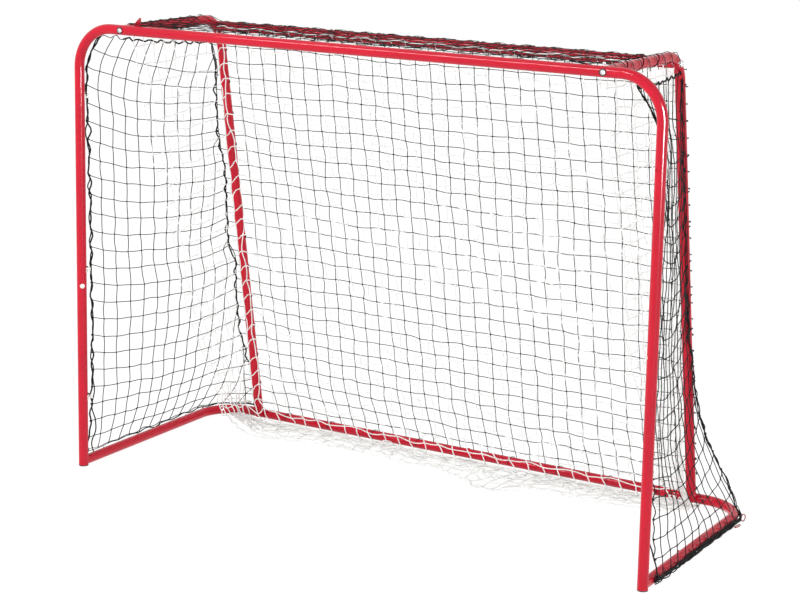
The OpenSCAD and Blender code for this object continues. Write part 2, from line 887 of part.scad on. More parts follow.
// Plain curved sheet: a skin on each face, and walls round its edge
module side_sheet() {
    nu = side_columns;
    nv = side_rows;
    face_points = (nu + 1) * (nv + 1);
    function at(i, j) = j * (nu + 1) + i;
    function face_normal(i, j) =
        unit(cross(side_point(min(i + 1, nu), j) - side_point(max(i - 1, 0), j),
            side_point(i, min(j + 1, nv)) - side_point(i, max(j - 1, 0))));
    function face_list(h) = [for (j = [0:nv], i = [0:nu]) side_point(i, j) + h * face_normal(i, j)];
    function flip(tris) = [for (t = tris) [t[2], t[1], t[0]]];
    function shift(tris, by) = [for (t = tris) t + [by, by, by]];
    function ribbon(a, b) = [[a, b, b + face_points], [a, b + face_points, a + face_points]];
    skin = [for (j = [0:nv - 1], i = [0:nu - 1], half = [0:1])
        half == 0 ? [at(i, j), at(i + 1, j + 1), at(i + 1, j)] : [at(i, j), at(i, j + 1), at(i + 1, j + 1)]];
    edge_walls = concat(
        [for (i = [0:nu - 1], t = ribbon(at(i, 0), at(i + 1, 0))) t],
        [for (i = [0:nu - 1], t = ribbon(at(i + 1, nv), at(i, nv))) t],
        [for (j = [0:nv - 1], t = ribbon(at(0, j + 1), at(0, j))) t],
        [for (j = [0:nv - 1], t = ribbon(at(nu, j), at(nu, j + 1))) t]);
    polyhedron(points = concat(face_list(net_t / 2), face_list(-net_t / 2)),
        faces = concat(skin, flip(shift(skin, face_points)), edge_walls));
}

module side_net_right() {
    color(black) at_goal_line() side_sheet();
}

module side_net_left() {
    color(black) at_goal_line() mirror([1, 0, 0]) side_sheet();
}

// ---------------------------------------------------------------- lacings and ties

// Cord that twists down behind the post and crosses the top corner to the roof
module post_lacing() {
    pitch = 110;
    step = pitch / 6;
    low = tube_d + lacing_r + 2 * cord_gap;
    high = front_bend_z - 40;
    sway = 4;
    back = tube_r + lacing_r + sway + cord_gap;
    behind = [for (z = [low:step:high]) let (a = 360 * z / pitch)
        [post_x + 3 * sin(a), back + sway * cos(a), z]];
    across = [[post_x - 6, back, high + 40], [post_x - 40, back, high + 70],
        [post_x - 80, back, bar_z - 42], [upright_x + 22, back + 2, bar_z - 38]];
    cord(concat(behind, across), lacing_r, 6);
}

module post_lacing_right() {
    color(black) at_goal_line() post_lacing();
}

module post_lacing_left() {
    color(black) at_goal_line() mirror([1, 0, 0]) post_lacing();
}

// Cord that hangs the side net's top edge from the roof tube in long wraps
module roof_lacing() {
    wraps = 5;
    first = 50;
    pitch = (roof_bend_y - first) / wraps;
    ring = tube_r + roof_lacing_r + 1;
    low_z = side_top_z + net_t / 2 + roof_lacing_r + 1.5;
    round_points = [for (a = [0:45:270]) [ring * cos(a), ring * sin(a), 10 + 4 * a / 45]];
    path = concat(
        [for (k = [0:wraps - 1]) each concat(
            [[upright_x + 22, first + k * pitch, low_z],
                [upright_x + 17.5, first + k * pitch + 6, bar_z - 14]],
            [for (p = round_points) [upright_x + p[0], first + k * pitch + p[2], bar_z + p[1]]],
            [[upright_x + 10, first + k * pitch + 40, bar_z - 24]])],
        [[upright_x + 22, first + wraps * pitch, low_z]]);
    cord(path, roof_lacing_r, 6);
}

module roof_lacing_right() {
    color(black) at_goal_line() roof_lacing();
}

module roof_lacing_left() {
    color(black) at_goal_line() mirror([1, 0, 0]) roof_lacing();
}

// Cord that twists down the outside of the upright
module upright_lacing() {
    pitch = 100;
    step = pitch / 6;
    path = [for (z = [leave_z:step:side_top_z - 14])
        [upright_x + 19.8 + 3 * cos(360 * z / pitch), upright_y(z) + 5 * sin(360 * z / pitch), z]];
    cord(path, lacing_r, 6);
}

module upright_lacing_right() {
    color(black) at_goal_line() upright_lacing();
}

module upright_lacing_left() {
    color(black) at_goal_line() mirror([1, 0, 0]) upright_lacing();
}

// Loop of tie cord, or a part of one, in the XY plane
module tie_loop(loop_r, turn = 360) {
    rotate_extrude(angle = turn) translate([loop_r, 0]) circle(r = tie_r, $fn = 16);
}

// Half loops over the tubes of the base
module base_ties() {
    color(black) at_goal_line() {
        for (x = rear_ties) translate([x, base_depth, base_z]) rotate([90, 0, 90]) tie_loop(tie_ring_r, 180);
        both_sides() for (y = side_ties)
            translate([post_x, y, base_z]) rotate([90, 0, 0]) tie_loop(tie_ring_r, 180);
    }
}

// Full loops round the rear top bar
module top_bar_ties() {
    color(black) at_goal_line() for (x = rear_ties)
        translate([x, top_bar_y, top_bar_z]) rotate([0, 90, 0]) tie_loop(tie_ring_r);
}

// Red loops that stretch the net at the rear corners of the base and on the crossbar
module corner_ties() {
    loop_r = 6;
    loop_out = side_corner_r + net_t / 2 + loop_r + tie_r;
    color(red) at_goal_line() {
        both_sides() for (place = [[22.5, -0.1], [36, -1.9]])
            translate([base_bend_x, base_bend_y, side_bottom_z + 3]) rotate([0, 0, place[0]])
                translate([loop_out + place[1], 0, 0]) rotate([90, 0, 0]) tie_loop(loop_r);
        both_sides() translate([upright_x - 47, 0, bar_z]) rotate([90, 0, 90]) rotate([0, 0, -20])
            tie_loop(tie_ring_r, 220);
    }
}

crossbar_left();
crossbar_right();
post_left();
post_right();
foot_left();
foot_right();
base_corner_left();
base_corner_right();
top_corner_left();
top_corner_right();
upright_left();
upright_right();
top_bar_left();
top_bar_right();
button_upper_left();
button_upper_right();
button_lower_left();
button_lower_right();
button_base_left();
button_base_right();
button_upright_left();
button_upright_right();
button_crossbar();
button_rear_bar();
button_top_bar();
spring_clips();
foot_caps();
roof_bolts();
roof_washers();
roof_inserts();
top_bar_bolts();
top_bar_inserts();
post_plug_left();
post_plug_right();
net_hooks_left();
net_hooks_right();
roof_net();
back_net();
side_net_left();
side_net_right();
drop_net();
drop_net_hem();
post_lacing_left();
post_lacing_right();
roof_lacing_left();
roof_lacing_right();
upright_lacing_left();
upright_lacing_right();
base_ties();
top_bar_ties();
corner_ties();
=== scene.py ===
import json
import math
from types import SimpleNamespace

import bmesh
import bpy
import numpy as np
from mathutils import Matrix, Vector


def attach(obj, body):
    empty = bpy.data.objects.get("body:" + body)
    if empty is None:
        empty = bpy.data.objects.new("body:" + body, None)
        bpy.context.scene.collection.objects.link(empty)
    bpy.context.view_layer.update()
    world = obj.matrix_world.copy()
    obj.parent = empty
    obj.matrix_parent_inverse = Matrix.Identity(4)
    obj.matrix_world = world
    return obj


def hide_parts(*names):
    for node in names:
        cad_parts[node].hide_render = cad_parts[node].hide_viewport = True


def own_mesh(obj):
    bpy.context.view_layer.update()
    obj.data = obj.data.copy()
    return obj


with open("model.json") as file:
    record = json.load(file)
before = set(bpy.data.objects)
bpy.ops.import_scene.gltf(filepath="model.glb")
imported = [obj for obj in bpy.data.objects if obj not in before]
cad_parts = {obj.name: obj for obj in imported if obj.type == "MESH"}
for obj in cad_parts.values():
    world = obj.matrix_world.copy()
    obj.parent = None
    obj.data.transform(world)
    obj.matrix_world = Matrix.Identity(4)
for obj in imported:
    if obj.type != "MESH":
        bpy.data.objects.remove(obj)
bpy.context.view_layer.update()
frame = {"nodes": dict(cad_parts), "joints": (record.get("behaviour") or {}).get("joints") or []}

bl_info = {
    "name": "Street Hockey Goal",
    "version": (1, 0, 0),
    "blender": (4, 5, 0),
    "location": "3D View > Sidebar > Street Goal",
    "description": "Finishes, knotted nets, lacings and stage for a plug-together street hockey goal",
    "category": "Object",
}

# Axes of the steel frame in millimetres. Y is counted from the goal line, where the posts stand.
GOAL_LINE_Y = -306.7
TUBE_R = 12.5
POST_X = 787.5
UPRIGHT_X = 650.0
BAR_Z = 1137.5
ROOF_DEPTH = 400.0
LEAN = math.radians(10.1)
# Bars across the goal and axes of the bends, each by its Y and its height
CROSSBAR = (0.0, BAR_Z)
REAR_BAR = (615.0, 12.5)
TOP_BAR = (385.34, 1120.0)
ROOF_BEND = (337.17, 1062.5)
ROOF_BEND_R = 75.0
# Middle of the base's bend in plan
BASE_BEND = (687.5, 515.0)
# Ties along the rear bars and along the sides of the base, and heights of the posts' hooks
REAR_TIES = [k * 140.0 for k in (-4, -3, -2, -1, 1, 2, 3, 4)]
SIDE_TIES = [90.0, 235.0, 330.0, 450.0]
HOOK_HEIGHTS = [961.0, 517.0, 182.0]
# Middle of each red loop at the base's corner, and the two ways in which it reaches out
LOOPS = (((807.0, 549.0, 10.5), (4.5, 1.5, 0.0), (1.0, 0.0, 9.0)),
         ((812.0, 500.0, 4.5), (1.0, 11.0, 0.5), (4.5, 0.0, 1.0)))
# The view: place in metres, turns in radians, and the rest in pixels of a picture of 800 x 600
VIEW_PLACE = (2.482598, -4.260915, 1.661883)
VIEW_TURN = 0.5371169
VIEW_TILT = 0.18926278
VIEW_ROLL = 0.01854955
VIEW_FOCAL = 2043.3987
VIEW_MIDDLE = (392.14453, 208.80522)
VIEW_SIZE = (800, 600)
SENSOR_MM = 36.0
# The stage in metres: each lamp's place and size, the point that the lamps are turned to, and the floor
KEY_PLACE = (-1.6, -3.7, 3.9)
KEY_SIZE = (3.2, 0.4)
STRIP_PLACE = (3.4, -1.75, 1.25)
STRIP_SIZE = (0.42, 1.6)
LIT_MIDDLE = (0.0, 0.0, 0.55)
FLOOR_HALF = 9.0
FLOOR_Z = -0.0004
WHITE = (1.0, 1.0, 1.0, 1.0)


def upright_y(z):
    """Distance of the leaning uprights' axis behind the goal line at height z, in millimetres."""
    return ROOF_DEPTH + (BAR_Z - z) * math.tan(LEAN)


def beside(bar, x, back, up):
    """Point at a distance behind and above the axis of a bar across the goal."""
    return [x, bar[0] + back, bar[1] + up]


def around(bar, x, ring, angle):
    """Point on a ring round a bar across the goal: angle 0 is behind the bar, a quarter turn is above it."""
    return beside(bar, x, ring * math.cos(angle), ring * math.sin(angle))


def new_object(name, data):
    """Object for a mesh, a camera or a lamp, linked to the scene."""
    thing = bpy.data.objects.new(name, data)
    bpy.context.scene.collection.objects.link(thing)
    return thing


# ---------------------------------------------------------------- colours and materials

def linear(code):
    """Linear red, green and blue of an sRGB hex value."""
    parts = [int(code[i:i + 2], 16) / 255 for i in (0, 2, 4)]
    return tuple(c / 12.92 if c <= 0.04045 else ((c + 0.055) / 1.055) ** 2.4 for c in parts)


def add_node(tree, kind, settings=None, values=None, links=None):
    """Adds one shader node with its settings, its unlinked values and its links."""
    node = tree.nodes.new(kind)
    for key, value in (settings or {}).items():
        setattr(node, key, value)
    for key, value in (values or {}).items():
        node.inputs[key].default_value = value
    for key, source in (links or {}).items():
        tree.links.new(source, node.inputs[key])
    return node


def new_material(name, colour, roughness, metallic=0.0, ior=None):
    """Material with a plain surface shader, ready for its pattern."""
    material = bpy.data.materials.new(name)
    material.use_nodes = True
    shader = material.node_tree.nodes["Principled BSDF"]
    shader.inputs["Base Color"].default_value = (*colour[:3], 1.0)
    shader.inputs["Roughness"].default_value = roughness
    shader.inputs["Metallic"].default_value = metallic
    if ior is not None:
        shader.inputs["IOR"].default_value = ior
    return material, material.node_tree, shader


def shade(colour, by):
    """The colour made lighter or darker by a factor."""
    return tuple(min(1.0, c * by) for c in colour[:3])


def per_metre(millimetres):
    """Texture scale that gives cells of that size when coordinates are in metres."""
    return 1000.0 / millimetres


def own_places(tree):
    """Coordinates in metres that belong to the piece itself."""
    return add_node(tree, "ShaderNodeTexCoord").outputs["Object"]


def noise(tree, places, cell_mm, detail):
    """Cloudy pattern with cells of that size."""
    return add_node(tree, "ShaderNodeTexNoise", values={"Scale": per_metre(cell_mm), "Detail": detail},
                    links={"Vector": places}).outputs["Fac"]


def calculate(tree, operation, *terms):
    """Result of a maths node, of which each term is a number or another node's output."""
    values = {k: term for k, term in enumerate(terms) if isinstance(term, float)}
    links = {k: term for k, term in enumerate(terms) if k not in values}
    return add_node(tree, "ShaderNodeMath", {"operation": operation}, values, links).outputs[0]


def tint(tree, shader, factor, low, high, start, end):
    """Colours the surface with a ramp from one colour to another."""
    ramp = add_node(tree, "ShaderNodeValToRGB", links={"Fac": factor})
    first, last = ramp.color_ramp.elements
    first.position = start
    first.color = (*low[:3], 1.0)
    last.position = end
    last.color = (*high[:3], 1.0)
    tree.links.new(ramp.outputs["Color"], shader.inputs["Base Color"])


def emboss(tree, shader, height, strength, depth_mm):
    """Lets a pattern stand out from the surface by its bump."""
    bump = add_node(tree, "ShaderNodeBump", values={"Strength": strength, "Distance": depth_mm / 1000},
                    links={"Height": height})
    tree.links.new(bump.outputs["Normal"], shader.inputs["Normal"])


def powder_coated_steel(name, colour, roughness):
    """Polyester powder baked on steel tube: even colour, a soft sheen and faint orange peel."""
    material, tree, shader = new_material(name, colour, roughness, ior=1.46)
    # The peel scatters a part of the mirror image
    shader.inputs["Specular IOR Level"].default_value = 0.38
    places = own_places(tree)
    # Film thickness drifts over a hand's width and shifts the colour a little
    tint(tree, shader, noise(tree, places, 120.0, 1.0), shade(colour, 0.93), shade(colour, 1.05), 0.3, 0.7)
    # Orange peel has cells of 1 to 2 mm; they are drawn at 3 mm so that they show
    emboss(tree, shader, noise(tree, places, 3.0, 2.0), 0.16, 0.2)
    return material


def zinc_plated_steel(name, colour):
    """Electroplated zinc on turned steel: bright, bluish, with fine cloudy spangle."""
    material, tree, shader = new_material(name, colour, 0.28, metallic=1.0)
    spangle = add_node(tree, "ShaderNodeTexVoronoi", values={"Scale": per_metre(1.5)},
                       links={"Vector": own_places(tree)}).outputs["Distance"]
    tint(tree, shader, spangle, shade(colour, 0.86), colour, 0.0, 0.6)
    cloud = add_node(tree, "ShaderNodeMapRange",
                     values={"From Min": 0.0, "From Max": 0.7, "To Min": 0.2, "To Max": 0.36},
                     links={"Value": spangle})
    tree.links.new(cloud.outputs["Result"], shader.inputs["Roughness"])
    return material


def rolled_spring_steel(name, colour):
    """Hardened strip from the rolling mill: darker grey with fine lengthwise scratches."""
    material, tree, shader = new_material(name, colour, 0.36, metallic=1.0)
    stretched = add_node(tree, "ShaderNodeMapping", values={"Scale": (1.0, 1.0, 0.08)},
                         links={"Vector": own_places(tree)})
    lines = noise(tree, stretched.outputs["Vector"], 0.6, 3.0)
    tint(tree, shader, lines, shade(colour, 0.8), shade(colour, 1.1), 0.35, 0.65)
    return material


def moulded_plastic(name, colour, roughness, grain_mm):
    """Injection-moulded polyethylene or nylon: even colour with the mould's fine spark-eroded grain."""
    material, tree, shader = new_material(name, colour, roughness, ior=1.5)
    grain = noise(tree, own_places(tree), grain_mm, 2.0)
    tint(tree, shader, grain, shade(colour, 0.9), shade(colour, 1.08), 0.3, 0.7)
    emboss(tree, shader, grain, 0.2, 0.1)
    return material


def braided_cord(name, colour, hollow_shade, pitch_mm, roughness, specular):
    """Cord braided from filament yarn: crossing ridges all along it, with painted shade where yarns dive
    under.
    """
    material, tree, shader = new_material(name, colour, roughness, ior=1.49)
    # The yarns shade one another, so a braid shines less than its plastic does
    shader.inputs["Specular IOR Level"].default_value = specular
    lay = add_node(tree, "ShaderNodeUVMap", {"uv_map": "lay"})
    parts = add_node(tree, "ShaderNodeSeparateXYZ", links={"Vector": lay.outputs["UV"]})
    turn = calculate(tree, "MULTIPLY", parts.outputs["X"], 4 * math.pi)
    along = calculate(tree, "MULTIPLY", parts.outputs["Y"], 2 * math.pi * per_metre(pitch_mm))
    ways = [calculate(tree, "SINE", calculate(tree, way, turn, along)) for way in ("ADD", "SUBTRACT")]
    ridge = calculate(tree, "MULTIPLY_ADD", calculate(tree, "MULTIPLY", *ways), 0.5, 0.5)
    # Painted shade: the hollows between the ridges take a darker share of the colour
    tint(tree, shader, ridge, shade(colour, hollow_shade), colour, 0.05, 0.6)
    emboss(tree, shader, ridge, 0.6, 0.4)
    return material


# Braid of each cord's slot: its material, the share of the colour left in the hollows as painted shade, the
# pitch in millimetres, the roughness and the specular level
BRAIDS = {
    "black_cord": ("braided_polypropylene_black", 0.35, 4.0, 0.6, 0.1),
    "white_cord": ("braided_nylon_white", 0.95, 4.0, 0.5, 0.4),
    "red_cord": ("braided_elastic_red", 0.5, 3.0, 0.5, 0.3),
}


def cord_material(context, slot_name):
    """The braid of a cord's slot, which is made once and then shared."""
    name, *look = BRAIDS[slot_name]
    return bpy.data.materials.get(name) or braided_cord(
        name, getattr(context.scene.goal_finishes, slot_name), *look)


def floor_paper(name, colour, glow):
    """Seamless studio paper: seen by the camera it stays nearly white and keeps a soft shadow."""
    material, tree, shader = new_material(name, colour, 0.9)
    fibre = add_node(tree, "ShaderNodeTexNoise", values={"Scale": per_metre(40.0)})
    emboss(tree, shader, fibre.outputs["Fac"], 0.02, 0.2)
    bright = add_node(tree, "ShaderNodeEmission", values={"Color": WHITE, "Strength": glow})
    # A fifth of the paper's own shading stays, and the soft shadow with it
    part = calculate(tree, "MULTIPLY", seen_background(tree), 0.8)
    both = add_node(tree, "ShaderNodeMixShader", links={
        0: part, 1: shader.outputs["BSDF"], 2: bright.outputs["Emission"]})
    tree.links.new(both.outputs["Shader"], tree.nodes["Material Output"].inputs["Surface"])
    return material


def seen_background(tree):
    """1 for the camera's rays and for what shows in metal and glass, otherwise 0."""
    rays = add_node(tree, "ShaderNodeLightPath").outputs
    mirror = calculate(tree, "MAXIMUM", rays["Is Glossy Ray"], rays["Is Transmission Ray"])
    return calculate(tree, "MAXIMUM", rays["Is Camera Ray"], mirror)


# ---------------------------------------------------------------- cords and nets

def smooth_step(t):
    """0 before 0, 1 after 1, and an even curve between."""
    t = np.clip(t, 0.0, 1.0)
    return t * t * (3 - 2 * t)


def slack(knots, rng, wander=0.0, steps=3):
    """Rounded path through a row of knots; between two knots the cord wanders a little to one side."""
    p = np.asarray(knots, float)
    if len(p) < 3:
        steps = max(steps, 2)
    ends = np.vstack([2 * p[0] - p[1], p, 2 * p[-1] - p[-2]])
    p0, p1, p2, p3 = (ends[k:len(ends) - 3 + k][:, None] for k in range(4))
    t = (np.arange(steps) / steps)[None, :, None]
    path = 0.5 * (2 * p1 + (p2 - p0) * t + (2 * p0 - 5 * p1 + 4 * p2 - p3) * t ** 2
                  + (3 * p1 - p0 - 3 * p2 + p3) * t ** 3)
    if wander:
        path = path + rng.normal(0, wander, (len(p) - 1, 1, 3)) * np.sin(math.pi * t)
    return np.vstack([path.reshape(-1, 3), p[-1:]])


def knot_template():
    """Corners and triangles of a rounded lump with a radius of 1."""
    ball = bmesh.new()
    bmesh.ops.create_icosphere(ball, subdivisions=1, radius=1.0)
    corners = np.array([v.co[:] for v in ball.verts])
    faces = np.array([[v.index for v in f.verts] for f in ball.faces])
    ball.free()
    return corners, faces


KNOT_CORNERS, KNOT_FACES = knot_template()


class CordPiece:
    """Gathers the cords and knots of one piece, in millimetres from the goal line, and makes its mesh."""

    def __init__(self, name, seed):
        self.name = name
        self.rng = np.random.default_rng(seed)
        self.corners, self.faces, self.lay = [], [], []
        self.count = 0

    def cord(self, path, diameter, sides=6):
        """Adds a round cord along a path; its diameter is one number, or one for each point."""
        path = np.asarray(path, float)
        half = np.broadcast_to(np.asarray(diameter, float) / 2, len(path))[:, None, None]
        way = np.gradient(path, axis=0)
        way /= np.linalg.norm(way, axis=1)[:, None] + 1e-9
        across = np.cross(way[0], (0, 0, 1) if abs(way[0][2]) < 0.8 else (1, 0, 0))
        sideways = np.empty_like(path)
        for k, ahead in enumerate(way):
            across = across - ahead * across.dot(ahead)
            across = across / np.linalg.norm(across)
            sideways[k] = across
        up = np.cross(way, sideways)
        turn = 2 * math.pi * np.arange(sides) / sides
        ring = (np.cos(turn)[None, :, None] * sideways[:, None] + np.sin(turn)[None, :, None] * up[:, None])
        corners = (path[:, None] + ring * half).reshape(-1, 3)
        reach = np.concatenate([[0], np.cumsum(np.linalg.norm(np.diff(path, axis=0), axis=1))]) / 1000
        for k in range(len(path) - 1):
            for s in range(sides):
                a = self.count + k * sides + s
                b = self.count + k * sides + (s + 1) % sides
                self.faces.append((a, b, b + sides, a + sides))
                u, w = s / sides, (s + 1) / sides
                self.lay += [u, reach[k], w, reach[k], w, reach[k + 1], u, reach[k + 1]]
        last = self.count + (len(path) - 1) * sides
        # Flat caps close both ends
        for cap in (range(self.count + sides - 1, self.count - 1, -1), range(last, last + sides)):
            self.faces.append(tuple(cap))
            self.lay += [0.0, 0.0] * sides
        self.corners.append(corners)
        self.count += len(corners)

    def knots(self, places, size):
        """Adds a rounded knot at each place."""
        for place in places:
            stretch = size / 2 * self.rng.uniform(0.82, 1.25, 3)
            turn = np.linalg.qr(self.rng.normal(size=(3, 3)))[0]
            self.corners.append((KNOT_CORNERS * stretch) @ turn.T + place)
            self.faces += [tuple(f) for f in (KNOT_FACES + self.count).tolist()]
            self.lay += np.tile([0.0, 0.0, 0.3, 0.001, 0.6, 0.0], len(KNOT_FACES)).tolist()
            self.count += len(KNOT_CORNERS)

    def strand(self, knots, wander, diameter, steps=3, side=1):
        """Adds a slack cord through a row of knots, on the right side or mirrored on the left."""
        self.cord(mirrored(slack(knots, self.rng, wander, steps), side), diameter)

    def make(self, context, slot_name, *nodes):
        """Makes the mesh, lets it ride on the goal, and lets it stand for the plain solids."""
        mesh = bpy.data.meshes.new(self.name)
        corners = np.vstack(self.corners) / 1000
        corners[:, 1] += GOAL_LINE_Y / 1000
        mesh.from_pydata(corners.tolist(), [], self.faces)
        mesh.uv_layers.new(name="lay").data.foreach_set("uv", self.lay)
        mesh.shade_smooth()
        mesh.materials.append(cord_material(context, slot_name))
        piece = new_object(self.name, mesh)
        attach(piece, "goal")
        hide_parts(*nodes)


def drift_field(rng, reach):
    """Smooth field of small shifts over a net, in millimetres, with waves of about 150 mm and more."""
    waves = [(rng.normal(size=3) * reach / 3, rng.uniform(-1, 1, 2) / rng.uniform(24, 80),
              rng.uniform(0, 6.28)) for _ in range(9)]
    return lambda a, b: sum(size * math.sin(turn[0] * a + turn[1] * b + start) for size, turn, start in waves)


def knot_grid(place, across, down, rng, reach, jitter):
    """Places of a net's knots over a grid, each a little off its even place."""
    drift = drift_field(rng, reach)
    return np.array([[np.array(place(a, b)) + drift(a, b) + rng.normal(0, jitter, 3) for a in across]
                     for b in down])


def mirrored(path, side):
    """The path on the right side, or its mirror image on the left."""
    return np.asarray(path, float) * np.array([side, 1.0, 1.0])


# ---------------------------------------------------------------- settings

def colour_setting(name, description, code):
    """Colour in the panel, preset from an sRGB hex value."""
    return bpy.props.FloatVectorProperty(
        name=name, description=description, subtype="COLOR", size=3, min=0, max=1, default=linear(code))


def number_setting(name, description, low, high, preset, **kind):
    """Number in the panel, between its limits."""
    return bpy.props.FloatProperty(
        name=name, description=description, min=low, max=high, default=preset, **kind)


def length_setting(*details):
    """Length in the panel, in metres."""
    return number_setting(*details, unit="LENGTH")


class GoalFinishes(bpy.types.PropertyGroup):
    """Colours of the goal's finishes."""
    red: colour_setting("Powder coat", "Colour of the coated steel tubes", "CC0329")
    gloss: number_setting("Coat roughness", "Roughness of the powder coat", 0, 1, 0.13, subtype="FACTOR")
    zinc: colour_setting("Zinc", "Colour of the plated bolts", "D4D6D8")
    spring: colour_setting("Spring steel", "Colour of the spring strips", "A2A4A7")
    black_plastic: colour_setting("Black plastic", "Colour of the caps and saddle washers", "1B1B1D")
    white_plastic: colour_setting("White plastic", "Colour of the post plugs and net hooks", "EFEDE8")
    black_cord: colour_setting("Black cord", "Colour of the laced nets", "121214")
    white_cord: colour_setting("White cord", "Colour of the drop net", "FDFDFB")
    red_cord: colour_setting("Red cord", "Colour of the elastic loops", "B8162A")


class GoalNets(bpy.types.PropertyGroup):
    """Sizes of the goal's nets and lacings."""
    mesh: length_setting("Rear mesh", "Side of one mesh of the rear and roof nets", 0.03, 0.08, 0.0419)
    side_mesh: length_setting("Side mesh", "Side of one mesh of the side nets", 0.03, 0.08, 0.0435)
    drop_mesh: length_setting("Drop mesh", "Side of one mesh of the drop net", 0.03, 0.08, 0.043)
    cord: length_setting("Black cord", "Thickness of the black nets' cord", 0.001, 0.004, 0.0022)
    knot: length_setting("Knot", "Size of the black nets' knots", 0.002, 0.008, 0.0044)
    white: length_setting("White cord", "Thickness of the drop net's cord", 0.001, 0.004, 0.003)
    border: length_setting("Border cord", "Thickness of the cords round the nets", 0.002, 0.008, 0.0045)
    tie: length_setting("Tie cord", "Thickness of the ties round the bars", 0.002, 0.005, 0.003)


class GoalStage(bpy.types.PropertyGroup):
    """Light and floor."""
    sky: number_setting("Room light", "Light from all round the object", 0, 2, 1.3)
    zenith: number_setting(
        "Light from above", "Share of the room light that comes from straight above", 0, 1, 0.32,
        subtype="FACTOR")
    key: number_setting(
        "Key lamp", "Power of the wide lamp above the front left", 0, 500, 114, subtype="POWER")
    strip: number_setting(
        "Strip lamp", "Power of the tall narrow lamp at the right", 0, 1500, 620, subtype="POWER")
    glow: number_setting("Floor brightness", "How bright the paper floor looks from the camera", 0.5, 2, 1.15)
    paper: colour_setting("Paper", "Colour of the floor paper", "F4F4F2")


def net_sizes(context):
    """The settings of the nets, in millimetres."""
    nets = context.scene.goal_nets
    return SimpleNamespace(**{name: getattr(nets, name) * 1000 for name in GoalNets.__annotations__})


def finish(material, *nodes):
    """Gives carried-over CAD pieces their finish."""
    for node in nodes:
        mesh = frame["nodes"][node].data
        mesh.materials.clear()
        mesh.materials.append(material)


# ---------------------------------------------------------------- operators

class GOAL_OT_set_stage(bpy.types.Operator):
    """Camera, paper floor, room light and lamps"""
    bl_idname = "goal.set_stage"
    bl_label = "Set Stage"

    def execute(self, context):
        stage = context.scene.goal_stage
        self.camera(context)
        self.floor(stage)
        self.room(context, stage)
        self.lamp("key_lamp", KEY_PLACE, KEY_SIZE, stage.key)
        strip = self.lamp("strip_lamp", STRIP_PLACE, STRIP_SIZE, stage.strip)
        # The strip only shows as a glint on the tubes
        strip.visible_diffuse = False
        context.scene.view_settings.view_transform = "Standard"
        return {"FINISHED"}

    def camera(self, context):
        """Camera in front and to the right, a little above the crossbar."""
        level = math.cos(VIEW_TILT)
        back = Vector((math.sin(VIEW_TURN) * level, -math.cos(VIEW_TURN) * level, math.sin(VIEW_TILT)))
        right = (-back).cross(Vector((0, 0, 1))).normalized()
        up = right.cross(-back)
        rolled = math.cos(VIEW_ROLL) * right + math.sin(VIEW_ROLL) * up
        rolled_up = -math.sin(VIEW_ROLL) * right + math.cos(VIEW_ROLL) * up
        turned = Matrix((rolled, rolled_up, back)).transposed().to_4x4()
        turned.translation = VIEW_PLACE
        data = bpy.data.cameras.new("goal_camera")
        data.sensor_width = SENSOR_MM
        data.lens = VIEW_FOCAL / VIEW_SIZE[0] * SENSOR_MM
        data.shift_x = (VIEW_SIZE[0] / 2 - VIEW_MIDDLE[0]) / VIEW_SIZE[0]
        data.shift_y = (VIEW_MIDDLE[1] - VIEW_SIZE[1] / 2) / VIEW_SIZE[0]
        data.clip_start = 0.1
        data.clip_end = 100
        camera = new_object("goal_camera", data)
        camera.matrix_world = turned
        context.scene.camera = camera

    def floor(self, stage):
        """Sheet of paper that lies a hair below the goal, so that no two faces share a plane."""
        mesh = bpy.data.meshes.new("paper_floor")
        corners = [(x * FLOOR_HALF, y * FLOOR_HALF, 0) for x, y in ((-1, -1), (1, -1), (1, 1), (-1, 1))]
        mesh.from_pydata(corners, [], [(0, 1, 2, 3)])
        mesh.materials.append(floor_paper("seamless_paper_floor", stage.paper, stage.glow))
        floor = new_object("paper_floor", mesh)
        floor.location.z = FLOOR_Z

    def room(self, context, stage):
        """White to the camera and in reflections; on the object softer light, and less of it from above."""
        world = bpy.data.worlds.new("studio_room")
        world.use_nodes = True
        context.scene.world = world
        tree = world.node_tree
        tree.nodes.clear()
        ways = add_node(tree, "ShaderNodeTexCoord").outputs["Generated"]
        height = add_node(tree, "ShaderNodeSeparateXYZ", links={"Vector": ways}).outputs["Z"]
        strength = add_node(tree, "ShaderNodeMapRange", {"interpolation_type": "SMOOTHSTEP"}, {
            "From Min": 0.1, "From Max": 0.8, "To Min": stage.sky, "To Max": stage.sky * stage.zenith},
            {"Value": height})
        light = add_node(tree, "ShaderNodeBackground", values={"Color": WHITE},
                         links={"Strength": strength.outputs["Result"]})
        white = add_node(tree, "ShaderNodeBackground", values={"Color": WHITE, "Strength": 1.0})
        both = add_node(tree, "ShaderNodeMixShader", links={
            0: seen_background(tree), 1: light.outputs["Background"], 2: white.outputs["Background"]})
        add_node(tree, "ShaderNodeOutputWorld", links={"Surface": both.outputs["Shader"]})

    def lamp(self, name, place, size, power):
        """Soft box turned towards the middle of the goal."""
        data = bpy.data.lights.new(name, "AREA")
        data.shape = "RECTANGLE"
        data.size, data.size_y = size
        data.energy = power
        lamp = new_object(name, data)
        lamp.location = place
        lamp.rotation_mode = "QUATERNION"
        lamp.rotation_quaternion = (Vector(LIT_MIDDLE) - Vector(place)).to_track_quat("-Z", "Y")
        return lamp


